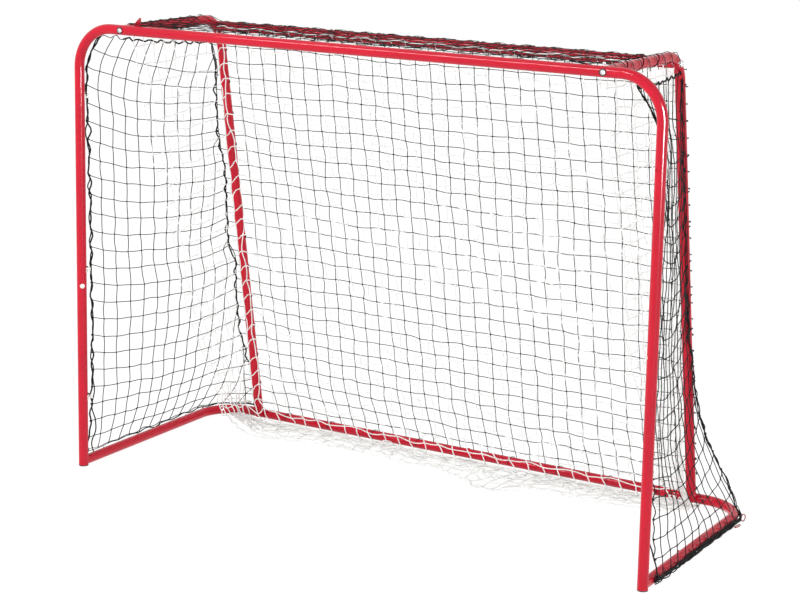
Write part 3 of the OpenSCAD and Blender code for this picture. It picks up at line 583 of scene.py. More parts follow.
class GOAL_OT_finish_tubes(bpy.types.Operator):
    """Powder coat on the tubes and the snap buttons"""
    bl_idname = "goal.finish_tubes"
    bl_label = "Finish Tubes"

    def execute(self, context):
        finishes = context.scene.goal_finishes
        coat = powder_coated_steel("powder_coated_steel_red", finishes.red, finishes.gloss)
        dipped = powder_coated_steel("enamelled_button_red", shade(finishes.red, 0.94), 0.16)
        for tube in ("crossbar", "post", "foot", "base_corner", "top_corner", "upright", "top_bar"):
            finish(coat, tube + "_left", tube + "_right")
        finish(dipped, *(joint["child"] for joint in frame["joints"]))
        return {"FINISHED"}


class GOAL_OT_finish_fittings(bpy.types.Operator):
    """Bolts, washers, inserts, caps, plugs and hooks"""
    bl_idname = "goal.finish_fittings"
    bl_label = "Finish Fittings"

    def execute(self, context):
        finishes = context.scene.goal_finishes
        zinc = zinc_plated_steel("zinc_plated_steel", finishes.zinc)
        black = moulded_plastic("moulded_polyethylene_black", finishes.black_plastic, 0.45, 0.8)
        white = moulded_plastic("moulded_nylon_white", finishes.white_plastic, 0.32, 1.2)
        finish(zinc, "roof_bolts", "top_bar_bolts", "roof_inserts", "top_bar_inserts")
        finish(black, "foot_caps", "roof_washers")
        finish(white, "post_plug_left", "post_plug_right", "net_hooks_left", "net_hooks_right")
        return {"FINISHED"}


def separate_solids(mesh):
    """The solids in one mesh, each as an array of its corners in metres and a list of its faces."""
    shell = bmesh.new()
    shell.from_mesh(mesh)
    bmesh.ops.remove_doubles(shell, verts=shell.verts, dist=1e-6)
    shell.verts.index_update()
    solids = []
    for seed in shell.verts:
        if seed.tag:
            continue
        seed.tag = True
        group = [seed]
        # The group grows while it is walked, until every corner that hangs together is in it
        for corner in group:
            for other in (edge.other_vert(corner) for edge in corner.link_edges):
                if not other.tag:
                    other.tag = True
                    group.append(other)
        order = {corner.index: k for k, corner in enumerate(group)}
        faces = [[order[v.index] for v in face.verts] for face in shell.faces if face.verts[0].index in order]
        solids.append((np.array([corner.co[:] for corner in group]), faces))
    shell.free()
    return solids


class GOAL_OT_fit_spring_strips(bpy.types.Operator):
    """Spring strip behind each button"""
    bl_idname = "goal.fit_spring_strips"
    bl_label = "Fit Spring Strips"

    def execute(self, context):
        steel = rolled_spring_steel("rolled_spring_steel", context.scene.goal_finishes.spring)
        strips = separate_solids(frame["nodes"]["spring_clips"].data)
        for joint in frame["joints"]:
            button = joint["child"]
            middle = np.mean([v.co[:] for v in frame["nodes"][button].data.vertices], axis=0)
            corners, faces = min(strips, key=lambda strip: np.linalg.norm(strip[0].mean(axis=0) - middle))
            mesh = bpy.data.meshes.new("spring_strip_" + button.removeprefix("button_"))
            mesh.from_pydata(corners.tolist(), [], faces)
            mesh.materials.append(steel)
            piece = new_object(mesh.name, mesh)
            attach(piece, "goal")
            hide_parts("spring_clips")
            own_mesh(piece)
        return {"FINISHED"}


# Rear net, in millimetres: height that it spans, heights of its highest and lowest row of knots, how far
# back the lowest row stays, and where its columns end behind the rear bar
REAR_SPAN = 1110
REAR_ROWS = (1104, 42)
REAR_LOW_Y = 621
REAR_END = (629.6, 18)


def column_places(pitch):
    """Even places across the rear, from one upright to the other."""
    cells = round(2 * UPRIGHT_X / pitch)
    return np.linspace(-UPRIGHT_X, UPRIGHT_X, cells + 1)[1:-1]


def rear_place(x, z):
    """Point of the rear net: on the uprights' plane, behind the tubes at the sides and the rear bar."""
    y = upright_y(z) + 2 + 12.5 * smooth_step((abs(x) - 570) / 70)
    if z < 140:
        y = max(y, np.interp(z, [16, 20, 140], [629.5, 629.0, upright_y(140) + 2]))
    return [x, y, z]


class GOAL_OT_knot_rear_net(bpy.types.Operator):
    """Black net between the uprights, tied behind the rear bar"""
    bl_idname = "goal.knot_rear_net"
    bl_label = "Knot Rear Net"

    def execute(self, context):
        size = net_sizes(context)
        # The stretched rear net's cord is a little thinner than that of the side nets
        cord = size.cord * 0.9
        net = CordPiece("rear_net_cords", 11)
        heights = np.linspace(*REAR_ROWS, round(REAR_SPAN / size.mesh / math.cos(LEAN)))
        grid = knot_grid(rear_place, column_places(size.mesh), heights, net.rng, 2.6, 0.9)
        grid[-1, :, 1] = np.maximum(grid[-1, :, 1], REAR_LOW_Y)
        for row, z in zip(grid, heights):
            y = upright_y(z)
            behind = rear_place(UPRIGHT_X, z)[1]
            left = [[-np.interp(z, *REAR_BORDER_LEFT), y + 2, z + 3], [-664, y + 4, z + 1],
                    [-UPRIGHT_X, behind, z]]
            right = [[UPRIGHT_X, behind, z], [661, y + 10, z], [665.5, y + 1, z + 1]]
            net.strand(np.vstack([left, row, right]), 1.1, cord)
            net.knots([right[-1]], size.knot)
        for column in grid.swapaxes(0, 1):
            top = [beside(TOP_BAR, column[0][0], back, up) for back, up in ((9, 11.5), (14.2, 2))]
            net.strand(np.vstack([top, column, [[column[-1][0], *REAR_END]]]), 1.1, cord)
        net.knots(grid.reshape(-1, 3), size.knot)
        bottom = [[x, 630.2 + 0.6 * math.sin(x / 31), 15 + 2.5 * math.sin(x / 23)]
                  for x in np.arange(-672, 673, 16)]
        net.strand(bottom, 0.5, size.border)
        net.make(context, "black_cord", "back_net")
        return {"FINISHED"}


# Roof net, in millimetres: limits of its rows behind the crossbar, and the way of each row up the outside of
# a roof tube and over it, by the distance from the middle and the height over the tube's axis
ROOF_ROWS = (30, 372)
ROOF_ENDS = ((669, -16), (665, 2), (660.5, 10.5), (UPRIGHT_X, 14.8))


def roof_z(y):
    """Height of the roof net, which lies on the crossbar and the rear top bar."""
    return BAR_Z + 14.3 - y * (BAR_Z - TOP_BAR[1]) / TOP_BAR[0]


def roof_place(x, y):
    """Point of the roof net, which dips a little between the bars."""
    dip = 2 * math.sin(math.pi * y / 390) * (1 - smooth_step((abs(x) - 560) / 60))
    return [x, y, roof_z(y) - dip]


def roof_tube_z(y):
    """Height of the roof tubes' axis, which bends down at the rear."""
    if y < ROOF_BEND[0]:
        return BAR_Z
    return ROOF_BEND[1] + math.sqrt(ROOF_BEND_R ** 2 - (y - ROOF_BEND[0]) ** 2)


class GOAL_OT_knot_roof_net(bpy.types.Operator):
    """Black net over the roof tubes, the crossbar and the rear top bar"""
    bl_idname = "goal.knot_roof_net"
    bl_label = "Knot Roof Net"

    def execute(self, context):
        size = net_sizes(context)
        # The roof net is knotted from finer cord
        cord = size.cord * 0.75
        net = CordPiece("roof_net_cords", 12)
        depths = np.arange(*ROOF_ROWS, size.mesh)
        grid = knot_grid(roof_place, column_places(size.mesh), depths, net.rng, 2.2, 0.9)
        # The net is drawn tight, so a knot keeps only a quarter of its shift up or down
        level = roof_z(grid[:, :, 1]) - 1
        grid[:, :, 2] = level + 0.25 * (grid[:, :, 2] - level)
        for row, y in zip(grid, depths):
            left, right = ([[side * x, y, roof_tube_z(y) + up] for x, up in ROOF_ENDS]
                           for side in (-1, 1))
            net.strand(np.vstack([left, row, right[::-1]]), 0.35, cord)
        for column in grid.swapaxes(0, 1):
            x = column[0][0]
            front = [beside(CROSSBAR, x, 13.5, 7), beside(CROSSBAR, x, 8, 12.5)]
            back = [beside(TOP_BAR, x, -5, 14.2), beside(TOP_BAR, x, 9, 11.5)]
            net.strand(np.vstack([front, column, back]), 0.35, cord)
        net.knots(grid.reshape(-1, 3), size.knot * 0.65)
        # Border cord in scallops along the back of the crossbar, thicker where it is knotted off at its ends
        for low, high, share, lift in ((-640, -540, 0.9, 12.5), (-540, 560, 0.45, 8), (560, 641, 0.9, 12.5)):
            edge = [[x, 23 - lift + 1.5 * math.sin(x / 13), BAR_Z + lift + 3 * math.sin(x / 21)]
                    for x in np.arange(low, high + 1, 10)]
            net.strand(edge, 0.4, size.border * share, 2)
        net.make(context, "black_cord", "roof_net")
        return {"FINISHED"}


# Side nets' borders in plan, in millimetres: heights, and the distance from the middle at each height
FRONT_BORDER_RIGHT = ([11, 30, 70, 110, 850, 1000, 1048, 1113],
                      [803.5, 798, 792, 788, 787, 781, 758, 711])
FRONT_BORDER_LEFT = ([17, 36, 94, 150, 433, 694, 949, 987, 1038, 1076, 1108, 1127],
                     [775, 779, 775, 779, 781, 782, 790, 793, 788, 772, 754, 727])
REAR_BORDER_RIGHT = ([16, 25, 40, 60, 80, 110, 150, 200, 250, 300, 400, 440, 520],
                     [763.5, 754.6, 736, 726, 718.2, 709.8, 698.9, 686.5, 676.9, 672.9, 665, 661.9, 657.5])
REAR_BORDER_LEFT = ([35, 87, 154, 229, 249, 303, 400, 459, 481, 492, 515, 534, 558,
                     610, 690, 732, 779, 814, 856, 898, 966, 986, 1008, 1024, 1047, 1069],
                    [697, 694, 691, 687, 697, 692, 687, 680, 679, 696, 693, 699, 694,
                     691, 685, 683, 690, 695, 690, 688, 686, 680, 674, 676, 686, 684])
# Height below which the right net's rear border leaves the upright for the corner of the base
FLARE_Z = 520
# Rows of the side nets, in millimetres: height of the first below the top border, lower limit, and step
SIDE_ROWS = (1081, 60, -46.2)
# Lower edge of the side nets in plan: straight along the outside of the base tube, then round its bend
EDGE_X = 803.5
EDGE_START = 31.0
EDGE_STRAIGHT = 484.0
EDGE_BEND_R = 118.4
# Cords of the band at the base tube: how far each lies out and up, and its share of the border's thickness
BAND_RIGHT = ((0.4, -4, 0.9), (1.4, -1, 0.9), (-0.4, 2, 0.85), (1.6, -3, 0.7),
              (0.4, 5, 0.6), (-1.2, 0, 0.9), (0.0, 9, 0.45))
BAND_LEFT = ((0.4, 0, 0.7), (1.0, 3, 0.5))


class SideNet:
    """Shape of one side net: rows run from the post to the rear, and columns hang at even steps."""

    def __init__(self, side):
        self.flared = side > 0

    def front(self, z):
        """Plan place of the front border at height z."""
        if self.flared:
            behind = np.interp(z, [11, 110, 850, 1000], [46.0, 21.0, 21.0, 25.0])
            return np.array([np.interp(z, *FRONT_BORDER_RIGHT), behind])
        return np.array([np.interp(z, *FRONT_BORDER_LEFT), EDGE_START])

    def rear(self, z):
        """Plan place of the rear border at height z: on the right it leaves the upright for the corner."""
        if not self.flared:
            return np.array([np.interp(z, *REAR_BORDER_LEFT), upright_y(z) + 2])
        y = upright_y(z) - 11 if z > FLARE_Z else np.interp(z, [16, FLARE_Z], [598, 499])
        return np.array([np.interp(z, *REAR_BORDER_RIGHT), y])

    def base(self, u):
        """Point a share u of the way round the outside of the base tube."""
        arc = math.radians(45 if self.flared else 90) * EDGE_BEND_R
        tail = 0 if self.flared else 22
        s = u * (EDGE_STRAIGHT + arc + tail)
        if s < EDGE_STRAIGHT:
            return np.array([EDGE_X, EDGE_START + s])
        if s <= EDGE_STRAIGHT + arc + 0.001:
            turn = (s - EDGE_STRAIGHT) / EDGE_BEND_R
            return np.array(BASE_BEND) + EDGE_BEND_R * np.array([math.cos(turn), math.sin(turn)])
        return np.array([BASE_BEND[0] - (s - EDGE_STRAIGHT - arc), BASE_BEND[1] + EDGE_BEND_R])

    def row(self, front_z, rear_z, sag):
        """Points along one row at even shares of the way from the front border to the rear border."""
        shares = np.linspace(0, 1, 61)
        z = front_z + (rear_z - front_z) * shares - sag * 4 * shares * (1 - shares)
        points = []
        for u, height in zip(shares, z):
            hung = (1 - u) * self.front(front_z) + u * self.rear(rear_z)
            # Low rows leave the line between the two borders for the outside of the base tube
            steepness = 1.7 + 2.8 * u if self.flared else 3.0
            low = min(1.0, max(0.0, (440 - height) / 424) ** steepness)
            points.append([*((1 - low) * hung + low * self.base(u)), height])
        return np.array(points)


def along_path(path, step):
    """Points at even steps along a path, without its two ends."""
    reach = np.concatenate([[0], np.cumsum(np.linalg.norm(np.diff(path, axis=0), axis=1))])
    stops = np.arange(step, reach[-1] - step * 0.3, step)
    return np.stack([np.interp(stops, reach, path[:, k]) for k in range(3)], axis=1)


class GOAL_OT_knot_side_nets(bpy.types.Operator):
    """Black nets at both sides, hung from the roof tubes and drawn round the base"""
    bl_idname = "goal.knot_side_nets"
    bl_label = "Knot Side Nets"

    def execute(self, context):
        for side in (1, -1):
            self.one_side(context, side)
        return {"FINISHED"}

    def rows(self, side):
        """Rows from the top border, level on the right and falling to the rear on the left, to the base."""
        shape = SideNet(side)
        top_front, top_rear = (1106, 1097) if side > 0 else (1115, 1070)
        rows = [shape.row(top_front, top_rear, 6)]
        for z in np.arange(*SIDE_ROWS):
            drop = 8 + 72 * (z - 400) / 590 if z > 400 else 8 * z / 400
            near_top = smooth_step((1110 - z) / 200)
            near_base = smooth_step(z / 260)
            sag = (44 if side > 0 else 30) * near_base * (0.35 + 0.65 * near_top)
            rows.append(shape.row(z, min(z - drop, top_rear - 22), sag))
        rows.append(shape.row(11, 9, 0) if side > 0 else shape.row(25, 25, 0))
        return rows

    def one_side(self, context, side):
        """One side net, knot by knot."""
        size = net_sizes(context)
        step = size.side_mesh
        name = "right" if side > 0 else "left"
        net = CordPiece("side_net_cords_" + name, 21 if side > 0 else 22)
        rows = self.rows(side)
        edges = [(row[0], row[-1]) for row in rows]
        grid = [along_path(row, step) for row in rows]
        drift = drift_field(net.rng, 3.2)
        for k in range(1, len(grid) - 1):
            for i in range(len(grid[k])):
                grid[k][i] += drift(i * step, k * step) + net.rng.normal(0, 1.1, 3)
        for k, knots in enumerate(grid):
            path = np.vstack([edges[k][0], knots, edges[k][1]])
            if k == 0:
                self.top_border(net, path, side, size)
            elif k == len(grid) - 1:
                self.gathered_band(net, path, side, size.border)
            else:
                net.strand(path, 1.0, size.cord, side=side)
        for i in range(max(len(knots) for knots in grid)):
            run = [k for k, knots in enumerate(grid) if len(knots) > i]
            places = [grid[k][i] for k in run]
            if run[0] > 0:
                # A column that doesn't reach the top begins at the rear border
                places.insert(0, (edges[run[0] - 1][1] + edges[run[0]][1]) / 2)
            net.strand(places, 1.0, size.cord, side=side)
        net.knots([p * (side, 1, 1) for knots in grid[1:-1] for p in knots], size.knot)
        self.end_borders(net, edges, side, size)
        net.make(context, "black_cord", "side_net_" + name)

    def top_border(self, net, path, side, size):
        """Scalloped cord along the roof tube: thick, but thin over the first fifth on the left."""
        scallop = slack(path, net.rng, 0, 4)
        scallop[:, 2] += 3.5 * np.sin(np.arange(len(scallop)) * 1.7) + net.rng.normal(0, 1.6, len(scallop))
        loose = len(scallop) // 5 if side < 0 else 0
        if loose:
            net.cord(mirrored(scallop[:loose + 1], side), size.cord)
        net.cord(mirrored(scallop[loose:], side), size.border)

    def end_borders(self, net, edges, side, size):
        """Cords down the front and the rear border, tied at every row."""
        for which, reach in enumerate((2.6, 3.2)):
            line = np.array([ends[which] for ends in edges])
            path = slack(line, net.rng, 1.5, 5)
            count = np.arange(len(path))
            path[:, 0] += reach * np.sin(count * 1.3)
            path[:, 1] += reach * np.cos(count * 0.9)
            net.cord(mirrored(path, side), size.border * (0.6 if side > 0 else 0.95))
            net.knots([p * (side, 1, 1) for p in line[1:-1]], size.knot * 1.4)
        if side > 0:
            # Three more cords thicken the rear border where it flares out to the corner of the base
            line = np.array([ends[1] for ends in edges if ends[1][2] < 580])
            for shift in ((2, -5, 0), (-3, 5, 0), (1, -9, 4)):
                second = slack(line, net.rng, 2.2, 5) + shift
                second[:, 2] = np.maximum(second[:, 2], 6)
                net.cord(second, size.border * 0.55)

    def gathered_band(self, net, path, side, border):
        """Spare rows gathered into a band low on the outside of the base tube."""
        for turn, (out, up, share) in enumerate(BAND_RIGHT if side > 0 else BAND_LEFT):
            band = slack(path, net.rng, 1.2, 5)
            count = np.arange(len(band))
            band[:, 0] += out * 0.6 + 0.8 * np.sin(count * 0.9 + turn * 2)
            band[:, 2] = np.maximum(band[:, 2] + up + 1.5 * np.sin(count * 0.7 + turn), 4.0)
            # The band is thin behind the post and swells towards the corner
            swell = 0.6 + 0.4 * smooth_step(np.linspace(0, 1, len(band)) * 2.5)
            net.cord(mirrored(band, side), border * share * swell)


# Drop net, in millimetres: half its width at the rear, its highest row, two rows on the ground, lowest height
DROP_HALF = 628
DROP_TOP = 1096
DROP_GROUND_ROWS = (32, 6)
DROP_LOW = 2.5
WING_COLUMNS = 8
# Distance of the drop net's edge from the middle of the base's bend
WING_BEND_R = 78


def wing_front_y(z):
    """How far back the drop net's wing begins at height z: its front edge slants down to the rear."""
    return float(np.interp(z, [0, 99, 194, 300, 467, 687, 851, 1052, 1115],
                           [440, 402, 356, 311, 223, 173, 107, 40, 30]))


def corner_place(u):
    """Point a share u of the way along the inside of the base's corner, from the side to the rear."""
    angle = math.radians(155 - 65 * u)
    x = -BASE_BEND[0] + WING_BEND_R * math.cos(angle)
    return np.array([x, BASE_BEND[1] + WING_BEND_R * math.sin(angle)])


def wing_row(z, rise, plane, spreads):
    """One row of a wing of the drop net, from its front edge to the upright on the left side."""
    left = []
    for k in range(WING_COLUMNS):
        u = k / WING_COLUMNS
        y = (1 - u) * wing_front_y(z) + u * (plane - 18)
        height = z - rise * (1 - u * 0.6)
        # Near the ground the wing spreads into the corner of the base
        spread = float(smooth_step((140 - height) / 110)) if spreads else 0.0
        flat = (1 - spread) * np.array([-641 - 5 * math.sin(math.pi * u), y]) + spread * corner_place(u)
        left.append([*flat, height])
    left.append([-643, plane - 6, z - rise * 0.2 - 5])
    return left


def drop_row(x_places, z, rise):
    """One row of the drop net: back on the left side, across the rear, and forward on the right side."""
    plane = upright_y(z) - 21.5 / math.cos(LEAN)
    left = wing_row(z, rise, plane, True)
    # In front of each upright the strands peak, where the net hangs from the tube
    middle = [[x, plane, z + 8 * float(smooth_step((abs(x) - 590) / 38))] for x in x_places]
    right = [[-x, y, h] for x, y, h in wing_row(z, rise, plane, False)[::-1]]
    # The right wing's lowest rows are drawn together at the foot of the upright
    close = float(smooth_step((150 - z) / 90)) * 0.92
    right = [[x, y + (plane - 12 - y) * close, h] for x, y, h in right]
    return np.array(left + middle + right)


class GOAL_OT_hang_drop_net(bpy.types.Operator):
    """White net that hangs loose in front of the rear net and along both sides"""
    bl_idname = "goal.hang_drop_net"
    bl_label = "Hang Drop Net"

    def execute(self, context):
        size = net_sizes(context)
        cord = size.white
        net = CordPiece("drop_net_cords", 31)
        grid = self.rows(net, size.drop_mesh)
        for row in grid:
            self.hang(net, row, cord)
        last = grid.shape[1] - WING_COLUMNS - 1
        for i, column in enumerate(grid.swapaxes(0, 1)):
            x, y = column[0][:2]
            # The rear's columns hang from the top bar, and the wings' from below the roof tubes
            top = beside(TOP_BAR, x, -15.6, -1) if WING_COLUMNS < i < last else [x, y, BAR_Z - 14.6]
            self.hang(net, np.vstack([top, column]), cord)
        net.knots(grid.reshape(-1, 3), cord * 1.3)
        edge = [[x, TOP_BAR[0] - 15.8, TOP_BAR[1] - 1 + 2 * math.sin(x / 17)]
                for x in np.arange(-632, 633, 14)]
        net.strand(edge, 0.4, cord * 1.4, 2)
        self.tie_off(net, cord)
        net.make(context, "white_cord", "drop_net")
        return {"FINISHED"}

    def rows(self, net, step):
        """Places of the knots, row by row from the top down to two rows on the ground."""
        xs = np.linspace(-DROP_HALF, DROP_HALF, round(2 * DROP_HALF / step) + 1)
        heights = np.append(np.arange(DROP_TOP, 60, -step), DROP_GROUND_ROWS)
        drift = drift_field(net.rng, 8)
        grid = []
        for k, z in enumerate(heights):
            rise = 26 * float(smooth_step((DROP_TOP - z) / 150) * smooth_step((z - 10) / 80))
            row = drop_row(xs, z, rise)
            for i in range(len(row)):
                shift = drift(i * step, k * step) + net.rng.normal(0, 2.6, 3)
                shift[1] = np.clip(shift[1], -9, 5)
                if i in (WING_COLUMNS, len(row) - WING_COLUMNS - 1):
                    # The strands beside the uprights stay against them
                    shift[:2] *= 0.15
                elif i < WING_COLUMNS or i > len(row) - WING_COLUMNS:
                    shift = np.clip(shift * 0.7, -4, 4)
                if z <= DROP_GROUND_ROWS[0]:
                    # On the ground the net lies flat and runs on to the right
                    ahead = (9, 0, 4 * math.sin(i * 2.1)) if z == DROP_GROUND_ROWS[0] else (19, 0, 0)
                    shift = shift * (1, 0.3, 0.25) + ahead
                row[i] += shift * smooth_step((1130 - z) / 90)
                row[i][2] = max(row[i][2], 4)
            grid.append(row)
        return np.array(grid)

    def hang(self, net, knots, cord):
        """One strand above the ground: thin where it hangs free, full where it rubs on the tubes."""
        path = slack(knots, net.rng, 2.0)
        path[:, 2] = np.maximum(path[:, 2], DROP_LOW)
        x, y, z = path.T
        near_upright = smooth_step((np.abs(x) - 590) / 25) * (y > upright_y(z) - 40)
        near_bar = smooth_step((70 - z) / 40)
        net.cord(path, cord * (0.67 + 0.33 * np.maximum(near_upright, near_bar)), 5)

    def tie_off(self, net, cord):
        """Knots that hold the net's right edge: two at the roof, and a tangle at the foot of the upright."""
        front_knot = [641, 13, BAR_Z + 16]
        rear_knot = np.array([664, 372, 1124])
        net.knots([front_knot], 8)
        net.knots([rear_knot], 9)
        # Frayed ends of the rear knot
        for reach in ((9, 4, 3), (7, 6, -5), (5, 2, 9)):
            net.cord([rear_knot, rear_knot + np.multiply(reach, (0.6, 1, 0.4)), rear_knot + reach], 1.6)
        for middle, spread, high in ((606, 19, 20), (640, 12, 16)):
            for _ in range(2):
                path = [[middle + spread * net.rng.uniform(-1, 1), 575 + net.rng.uniform(-3, 3),
                         high + 12 * net.rng.uniform(-1, 1)] for _ in range(5)]
                net.strand(path, 1.0, cord * 0.8)


# Front edge of the heap in plan, in millimetres: places across the goal, and distances behind the goal line
HEAP_EDGE = ([-735, -692, -642, -607, -580, -552, -522, -487, -446, -396, -316, -220, -121,
              -41, 29, 120, 174, 221, 274, 309, 374, 443, 484, 600, 680],
             [573, 532, 485, 464, 454, 451, 455, 462, 474, 488, 495, 492, 481,
              492, 470, 432, 405, 432, 464, 494, 476, 476, 482, 505, 560])
# The heap's first row and its limit at the rear bar, and the lowest and highest places of its cords
HEAP_START_Y = 582
HEAP_LIMIT_Y = 596
HEAP_HEIGHTS = (2.2, 24)
# Folded layers: reach towards the edge, lowest height, meshes' width and depth, and number of rows
HEAP_LAYERS = ((1.0, 3.2, 40, 36, 5), (0.7, 7.5, 36, 30, 4))


class GOAL_OT_heap_drop_net(bpy.types.Operator):
    """Spare length of the drop net, folded on the ground in front of the rear bar"""
    bl_idname = "goal.heap_drop_net"
    bl_label = "Heap Drop Net"

    def execute(self, context):
        # The heaped cord lies in close folds and is drawn fuller than the hanging one
        cord = net_sizes(context).white * 1.15
        net = CordPiece("drop_net_heap", 41)
        for layer in range(len(HEAP_LAYERS)):
            self.fold(net, cord, layer)
        edge = [[x, np.interp(x, *HEAP_EDGE) - 3, 3.5] for x in np.arange(-720, 671, 21)]
        path = slack(edge, net.rng, 4.0, 4)
        path[:, 2] = np.maximum(path[:, 2], 2.4)
        net.cord(path, cord)
        net.make(context, "white_cord", "drop_net_hem")
        return {"FINISHED"}

    def fold(self, net, cord, layer):
        """One folded layer: meshes pulled out of square, higher where folds lie on each other."""
        reach, low, across, down, count = HEAP_LAYERS[layer]
        drift = drift_field(net.rng, 11)
        grid = []
        for k in range(count):
            row = []
            for x in np.arange(-712, 671, across):
                outer = 590 - (590 - np.interp(x, *HEAP_EDGE)) * reach
                shift = drift(x, k * down) + net.rng.normal(0, 4.2, 3)
                y = HEAP_START_Y + (outer - HEAP_START_Y) * (k + 0.35) / (count - 0.65)
                y = min(y + shift[1] * 0.7, HEAP_LIMIT_Y)
                lift = low + 5 * abs(math.sin(x / 47 + k * 1.3 + layer)) + abs(shift[2]) * 0.35
                # Beside the rear bar the folds lie flatter
                lift *= 1 - 0.6 * float(smooth_step((y - 540) / 40))
                row.append([x + shift[0] * 1.2, y, max(lift, 3.2)])
            grid.append(row)
        grid = np.array(grid)
        for knots in (*grid, *grid.swapaxes(0, 1)):
            path = slack(knots, net.rng, 3.0)
            path[:, 2] = np.clip(path[:, 2], *HEAP_HEIGHTS)
            net.cord(path, cord, 5)
        net.knots(grid.reshape(-1, 3), cord * 1.7)


# Height at which the posts' lacing turns inwards to the crossbar
LACING_TOP = 990


class GOAL_OT_lace_posts(bpy.types.Operator):
    """Cord that runs up behind each post through the side net's front edge"""
    bl_idname = "goal.lace_posts"
    bl_label = "Lace Posts"

    def execute(self, context):
        lacing = net_sizes(context).border * 0.75
        for side, name in ((1, "right"), (-1, "left")):
            piece = CordPiece("post_lacing_cord_" + name, 51 + side)
            path, z = [], 30.0
            if side > 0:
                # At the right foot the cord runs down across the tube to the gathered border
                path = [[805, 47, 14], [802, 43, 30], [795, 36, 66], [783, 25, 112]]
                piece.knots([[803.5, 46, 12], [803, 51, 14], [803, 49, 20]], 9)
                z = 140.0
            while z < LACING_TOP:
                if side > 0:
                    path.append([781 + piece.rng.uniform(-2, 2), 23.5 + piece.rng.uniform(-1, 2), z])
                else:
                    path.append([np.interp(z, *FRONT_BORDER_LEFT) + piece.rng.uniform(-6, 4),
                                 27 + piece.rng.uniform(-3, 5), z])
                z += piece.rng.uniform(14, 40)
            path += ([[758, 27, 1046], [737, 25, 1080], [717, 22, 1106], [718, 15, 1126]] if side > 0 else
                     [[785, 27, 1040], [769, 27, 1078], [752, 26, 1108], [722, 25, 1128], [698, 22, 1136]])
            piece.strand(path, 0.8, lacing, side=side)
            for z in HOOK_HEIGHTS:
                piece.knots([[side * (POST_X + 1), 21.5, z + 3]], 8)
            piece.make(context, "black_cord", "post_lacing_" + name)
        return {"FINISHED"}


class GOAL_OT_lace_roof_tubes(bpy.types.Operator):
    """Cord wound round the roof tubes: open turns on the right, many long turns on the left"""
    bl_idname = "goal.lace_roof_tubes"
    bl_label = "Lace Roof Tubes"

    def execute(self, context):
        cord = net_sizes(context).tie
        right = CordPiece("roof_lacing_cord_right", 61)
        self.winding(right, 1, 84.0, cord * 0.6, 1)
        right.make(context, "black_cord", "roof_lacing_right")
        left = CordPiece("roof_lacing_cord_left", 62)
        for start in np.arange(0, 1, 1 / 13):
            self.winding(left, -1, 700.0, cord * 0.52, 1, start)
        for start in np.arange(0, 1, 1 / 4):
            self.winding(left, -1, 260.0, cord * 0.4, -1, start)
        left.make(context, "black_cord", "roof_lacing_left")
        return {"FINISHED"}

    def winding(self, piece, side, pitch, cord, hand, start=0.0):
        """Helix round a roof tube, from behind the crossbar to the rear bend."""
        # The turns that cross the others lie on top of them
        ring = TUBE_R + cord / 2 + 0.25 + (0.9 if hand < 0 else 0)
        path = []
        for y in np.arange(34, 330, pitch / 16):
            turn = hand * 2 * math.pi * (y / pitch + start)
            path.append([side * (UPRIGHT_X + ring * math.cos(turn)), y, BAR_Z + ring * math.sin(turn)])
        piece.cord(path, cord)


class GOAL_OT_lace_uprights(bpy.types.Operator):
    """Loose cord down the outside of each upright, with short bridges round the tube"""
    bl_idname = "goal.lace_uprights"
    bl_label = "Lace Uprights"

    def execute(self, context):
        size = net_sizes(context)
        ring = TUBE_R + size.cord / 2 + 0.4
        for side, name in ((1, "right"), (-1, "left")):
            piece = CordPiece("upright_lacing_cord_" + name, 71 + side)
            if side > 0:
                # The lacing is bundled with the net's border against the front and outside of the tube
                for out, back in ((9.5, -11), (12.0, -8), (7.5, -13)):
                    path = [[UPRIGHT_X + out + piece.rng.uniform(-0.8, 1.2), upright_y(z) + back - 1.5, z]
                            for z in np.arange(1082, 420, -27)]
                    piece.strand(path, 1.0, size.border * 0.36, 4)
            else:
                # The left one hangs from the net's rear border
                path = [[2.5 + piece.rng.uniform(-3, 3) - np.interp(z, *REAR_BORDER_LEFT),
                         upright_y(z) + 3, z] for z in np.arange(1066, 40, -31)]
                piece.strand(path, 0.8, size.cord * 1.1)
            for z in np.arange(1060, 60, -86):
                loop = [[UPRIGHT_X + ring * math.cos(a), upright_y(z) + ring * math.sin(a) * math.cos(LEAN),
                         z + 9 * math.cos(a) + ring * math.sin(a) * math.sin(LEAN)]
                        for a in np.radians(np.arange(-20, 200, 20))]
                piece.strand(loop, 0.2, size.cord, 2, side)
            piece.make(context, "black_cord", "upright_lacing_" + name)
        return {"FINISHED"}


